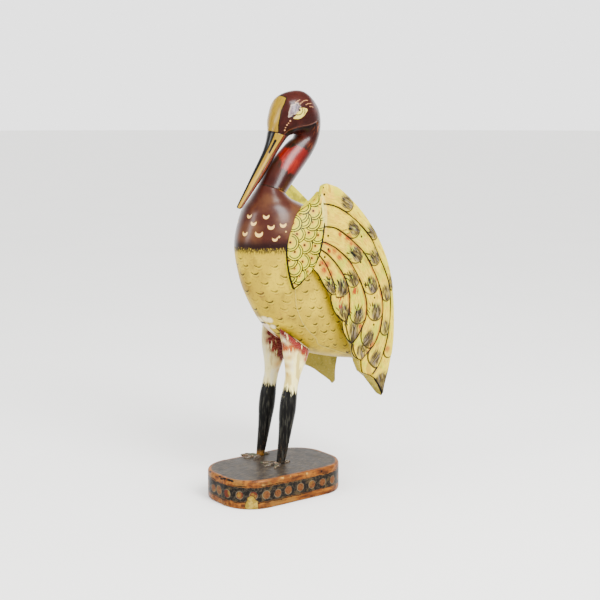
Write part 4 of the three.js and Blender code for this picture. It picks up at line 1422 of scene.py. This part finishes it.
def leg_paint(settings):
    """Brushed paint on the legs: cream thighs streaked with dark red and orange, drawn out in ragged
    strokes into black shins, and worn pale toes.
    The right leg's red is darker and its cream greyer, as painted shade, and the dark line along each
    thigh's cut is a joint line and partly painted shadow of the belly above."""
    material, tree, shader = new_paint("streaked_leg_paint", 0.3, 0.25)
    place = add(tree, "ShaderNodeTexCoord").outputs["Object"]
    streak = mottle(tree, place, 330, 3, (1, 1, 0.16))
    broad = mottle(tree, place, 110, 3, (1, 1, 0.3))
    speck = mottle(tree, place, 420, 4)
    ragged = shaken(tree, "height", streak, 46.0)
    warm = add(tree, "ShaderNodeMath", {0: "red", 1: "orange"}, operation="ADD").outputs[0]
    red = laid(tree, "#6e160c", [
        # The right leg's darker red and greyer cream are painted shade.
        (settings.red, "right_leg_painted_shade"),
        ("#4a0808", (broad, 0.5, 0.62)),
        ("#b87464", (speck, 0.5, 0.6), 0.24),
    ])
    cut_face = laid(tree, "#a8986a", [
        (red, (streak, 0.46, 0.58)),
        ("#8a6a1c", (broad, 0.50, 0.38), 0.7),
    ])
    thigh = laid(tree, settings.thigh, [
        ("#e4dcb0", (broad, 0.54, 0.66)),
        ("#a88a2c", (broad, 0.50, 0.38), 0.7),
        # Greyer cream on the right leg: painted shade.
        ("#8a8270", "right_leg_painted_shade", 0.45),
        ("#aa7a14", "ochre", 0.75),
        ("#9a4a0a", "orange", (streak, 0.32, 0.46)),
        (red, "red", (streak, 0.32, 0.44)),
        ("#6a0c08", warm, (speck, 0.60, 0.66)),
        # Dark band along the cut: a joint line, partly painted shadow of the belly above.
        ("#200506", ("cut", 3.0, 2.2)),
        (cut_face, ("cut", 1.5, 0.9)),
    ])
    shin = laid(tree, settings.shin, [
        ("#2e2d26", (streak, 0.50, 0.66), 0.9),
        ("#3a2a18", ("height", 90, 45), (speck, 0.54, 0.64)),
        ("#6e4a18", "knob", (speck, 0.3, 0.45)),
    ])
    toe = laid(tree, "#3e3326", [
        ("#7a6a54", (speck, 0.50, 0.60), 0.8),
        ("#7c5a48", (speck, 0.6, 0.68), 0.8),
        ("#38402c", (broad, 0.53, 0.60), 0.8),
        ("#1c1610", (broad, 0.45, 0.38), 0.8),
    ])
    colour = laid(tree, shin, [
        (thigh, (ragged, 144, 154)),
        (toe, "toe"),
    ])
    finish(tree, shader, colour, grained(tree, place, 120, 0.42, 0.6),
           [(broad, 0.0005), (streak, 0.00025), (speck, 0.0001)])
    return material


def thigh_top(x, y, sign):
    """Height of the plane that a thigh ends under: it falls towards the tail and the outer
    side. sign is 1 for the left leg."""
    return 260.5 - 0.753 * y - 0.4 * sign * x


class CARVING_OT_legs(bpy.types.Operator):
    """Make both legs with their streaked thighs, black shins and low toes"""
    bl_idname = "carving.legs"
    bl_label = "Legs"

    def execute(self, context):
        settings = context.scene.carved_bird.leg
        material = leg_paint(settings)
        for name, sign in (("left_leg", 1), ("right_leg", -1)):
            x = sign * settings.spread / MM
            rows = [[x, y - depth, z, x, y + depth, z, half] for y, z, depth, half in LEG_ROWS]
            if sign > 0:
                # The left thigh stays broad up to its cut.
                rows[-2][-1], rows[-1][-1] = 12.5, 10.5
            angle = np.linspace(0, 2 * math.pi, 84, endpoint=False)
            u, shrink = rounded_run(220, 0)
            grid = lofted(rows, u, np.cos(angle), np.sin(angle), shrink)
            # The lower of thigh and plane, with a rounded edge between them.
            roof = thigh_top(grid[..., 0], grid[..., 1], sign)
            spare = roof - grid[..., 2]
            grid[..., 2] = roof - (spare + np.sqrt(spare ** 2 + 6)) / 2
            points = with_poles(grid)
            if sign > 0:
                # The left thigh is a little fuller in front.
                front = np.clip((39 - points[:, 1]) / 25, 0, 1)
                points[:, 1] -= 6.5 * front * ramp(points[:, 2], 208, 244)
                roof = thigh_top(points[:, 0], points[:, 1], sign)
                points[:, 2] = np.minimum(points[:, 2], roof + 8 * (points[:, 1] > 66))
            under_cut = thigh_top(points[:, 0], points[:, 1], sign) - points[:, 2]
            across = points[:, 1:]
            if sign > 0:
                red = np.maximum(ramp(under_cut, 20, 9) * ramp(points[:, 1], 60, 48),
                                 1.1 * blots(across, [[2, 236, 11], [7, 226, 10], [11, 216, 9]]))
                orange = 1.3 * blots(across, [
                    [22, 211, 12], [14, 211, 10], [30, 214, 11], [47, 207, 9], [49, 200, 9],
                    [47, 192, 8], [40, 203, 7]])
                ochre = blots(across, [[20, 197, 8], [18, 184, 9], [17, 172, 8]])
            else:
                red = 1.8 * blots(across, [[23, 226, 9], [30, 218, 15], [36, 208, 16], [37, 196, 14],
                                           [28, 204, 13], [43, 188, 11], [24, 214, 12]])
                orange = np.zeros(len(points))
                ochre = blots(across, [[34, 178, 12], [36, 168, 8]])
            leg_fields = {
                "height": points[:, 2], "red": red, "orange": orange, "ochre": ochre,
                # Painted shade: 1 on the right leg, 0 on the left.
                "cut": under_cut, "right_leg_painted_shade": np.full(len(points), 0.0 if sign > 0 else 1.0),
                "knob": ramp(points[:, 2], 51, 46) * (sign < 0), "toe": np.zeros(len(points)),
            }
            shells = [((points + [BIRD_X, 0, 0], *tube(grid)[1:]), leg_fields)]
            # Three toes in front, spread by 0.65 radians, and a short one behind.
            for turn, length in ((-0.65, 30), (0, 30), (0.65, 30), (math.pi, 17)):
                toe = self.toe_grid(turn, length, 7, 3)
                toe += [BIRD_X + x, LEG_ROWS[0][0], PLINTH_SIZE.z / MM]
                shell = tube(toe)
                count = len(shell[0])
                toe_fields = {name: np.zeros(count) for name in leg_fields}
                toe_fields.update(height=np.full(count, PLINTH_SIZE.z / MM),
                                  cut=np.full(count, FAR), toe=np.ones(count))
                shells.append((shell, toe_fields))
            shell, fields = joined(shells)
            make_piece("carved_" + name, shell, fields, material, [name])
        return {"FINISHED"}

    @staticmethod
    def toe_grid(turn, length, width, high):
        """Half-buried ellipsoid with two shallow knuckles along it, turned about Z."""
        run = np.linspace(0.04, 0.97, 40)
        angle = np.linspace(0, 2 * math.pi, 28, endpoint=False)
        swell = np.sqrt(1 - (2 * run - 1) ** 2) * (1 + 0.10 * np.cos(6 * math.pi * run))
        across = swell[:, None] * np.cos(angle) * width / 2
        up = swell[:, None] * np.sin(angle) * high
        ahead = -run[:, None] * length + 0 * angle[None, :]
        return np.stack([across * math.cos(turn) - ahead * math.sin(turn),
                         across * math.sin(turn) + ahead * math.cos(turn), up], -1)


# Stage

def aim_from(azimuth, elevation):
    """Unit vector towards a place in degrees: azimuth from -Y towards +X, then up."""
    turn, tilt = math.radians(azimuth), math.radians(elevation)
    return Vector((math.sin(turn) * math.cos(tilt), -math.cos(turn) * math.cos(tilt),
                   math.sin(tilt)))


class CARVING_OT_stage(bpy.types.Operator):
    """Make the pale floor, the soft studio lights and the camera"""
    bl_idname = "carving.stage"
    bl_label = "Stage"

    def execute(self, context):
        settings = context.scene.carved_bird.stage
        scene = context.scene

        # Floor: a flat disc, wide enough to reach the horizon.
        around = 96
        turn = np.linspace(0, 2 * math.pi, around, endpoint=False)
        radius = np.array([0.0001, 0.5, 1.5, 4.0, 12.0, 40.0])
        grid = np.stack([radius[:, None] * np.cos(turn), radius[:, None] * np.sin(turn),
                         np.zeros((len(radius), len(turn)))], -1)
        i, j = np.meshgrid(np.arange(len(radius) - 1), np.arange(len(turn)), indexing="ij")
        k = (j + 1) % len(turn)
        near, far = i * around, (i + 1) * around
        faces = np.stack([near + j, far + j, far + k, near + k], -1).reshape(-1, 4)
        mesh = bpy.data.meshes.new("floor")
        mesh.from_pydata(grid.reshape(-1, 3).tolist(), [], faces.tolist())
        material, tree, shader = new_paint("matt_studio_floor", 0.0, 0.5)
        place = add(tree, "ShaderNodeTexCoord").outputs["Object"]
        soft = mottle(tree, place, 3)
        colour = laid(tree, settings.floor, [("#efeeeb", soft)])
        tree.links.new(colour, shader.inputs["Base Color"])
        shader.inputs["Roughness"].default_value = 0.9
        mesh.materials.append(material)
        floor = bpy.data.objects.new("floor", mesh)
        scene.collection.objects.link(floor)
        floor.visible_glossy = False

        # Air: a bright backdrop behind the work, dim on the camera's side and overhead.
        world = bpy.data.worlds.new("studio_air")
        world.use_nodes = True
        tree = world.node_tree
        way = add(tree, "ShaderNodeTexCoord").outputs["Generated"]
        rise = add(tree, "ShaderNodeSeparateXYZ", {0: way}).outputs[2]
        behind = add(tree, "ShaderNodeVectorMath", {0: way, 1: (-0.80, 0.60, 0.0)},
                     operation="DOT_PRODUCT").outputs["Value"]
        glow = mask(tree, (rise, 0.6, 0.2), (behind, 0.1, 0.8))
        strength = add(tree, "ShaderNodeMath", {0: glow, 1: settings.horizon, 2: 0.22},
                       operation="MULTIPLY_ADD")
        tree.links.new(strength.outputs[0], tree.nodes["Background"].inputs["Strength"])
        tree.nodes["Background"].inputs["Color"].default_value = (1, 1, 1, 1)
        scene.world = world

        # Two soft boxes that draw the long streaks on the lacquer.
        middle = Vector((-0.02, 0.04, 0.36))
        for name, azimuth, elevation, width, height, radiance in (
                ("tall_softbox", 92, 40, 0.75, 1.9, settings.key),
                ("front_softbox", -6, 21, 0.5, 1.0, 0.55 * settings.key)):
            aim = aim_from(azimuth, elevation)
            data = bpy.data.lights.new(name, "AREA")
            data.shape, data.size, data.size_y = "RECTANGLE", width, height
            data.energy = radiance * math.pi * width * height
            light = bpy.data.objects.new(name, data)
            light.location = middle + 2.0 * aim
            light.rotation_euler = aim.to_track_quat("Z", "Y").to_euler()
            scene.collection.objects.link(light)

        # Wide, shadowless fill, too soft to be mirrored in the lacquer.
        for name, azimuth, elevation, power in (("front_fill", 35, 48, 0.8 * settings.fill),
                                                ("top_fill", 110, 75, 1.2 * settings.fill)):
            aim = aim_from(azimuth, elevation)
            data = bpy.data.lights.new(name, "SUN")
            data.energy, data.angle = power, math.radians(110)
            light = bpy.data.objects.new(name, data)
            light.rotation_euler = aim.to_track_quat("Z", "Y").to_euler()
            light.visible_glossy = False
            scene.collection.objects.link(light)

        # The camera stands where the photograph was taken from.
        back = aim_from(CAMERA_AZIMUTH, CAMERA_ELEVATION)
        right = aim_from(CAMERA_AZIMUTH + 90, 0)
        lens = bpy.data.cameras.new("camera")
        lens.lens, lens.sensor_width = LENS, SENSOR
        camera = bpy.data.objects.new("camera", lens)
        turned = Matrix((right, back.cross(right), back)).transposed().to_4x4()
        camera.matrix_world = Matrix.Translation(CAMERA_PLACE) @ turned
        scene.collection.objects.link(camera)
        scene.camera = camera
        return {"FINISHED"}


class BirdSettings(bpy.types.PropertyGroup):
    plinth: bpy.props.PointerProperty(type=PlinthSettings)
    body: bpy.props.PointerProperty(type=BodySettings)
    head: bpy.props.PointerProperty(type=HeadSettings)
    wing: bpy.props.PointerProperty(type=WingSettings)
    leg: bpy.props.PointerProperty(type=LegSettings)
    stage: bpy.props.PointerProperty(type=StageSettings)


OPERATORS = (CARVING_OT_plinth, CARVING_OT_body, CARVING_OT_head, CARVING_OT_wings,
             CARVING_OT_legs, CARVING_OT_stage)


class CARVING_PT_panel(bpy.types.Panel):
    """Sizes and colours of the carved bird, with a button for each piece"""
    bl_idname = "CARVING_PT_panel"
    bl_label = "Carved Bird"
    bl_space_type = "VIEW_3D"
    bl_region_type = "UI"
    bl_category = "Carved Bird"

    def draw(self, context):
        settings = context.scene.carved_bird
        for group, operator in zip(BirdSettings.__annotations__, OPERATORS):
            box = self.layout.box()
            values = getattr(settings, group)
            for name in type(values).__annotations__:
                box.prop(values, name)
            box.operator(operator.bl_idname)


CLASSES = (PlinthSettings, BodySettings, HeadSettings, WingSettings, LegSettings, StageSettings,
           BirdSettings, *OPERATORS, CARVING_PT_panel)


def register():
    for cls in CLASSES:
        bpy.utils.register_class(cls)
    bpy.types.Scene.carved_bird = bpy.props.PointerProperty(type=BirdSettings)


def unregister():
    del bpy.types.Scene.carved_bird
    for cls in reversed(CLASSES):
        bpy.utils.unregister_class(cls)


def main():
    register()
    bpy.ops.carving.plinth()
    bpy.ops.carving.body()
    bpy.ops.carving.head()
    bpy.ops.carving.wings()
    bpy.ops.carving.legs()
    bpy.ops.carving.stage()


if __name__ == "__main__":
    main()
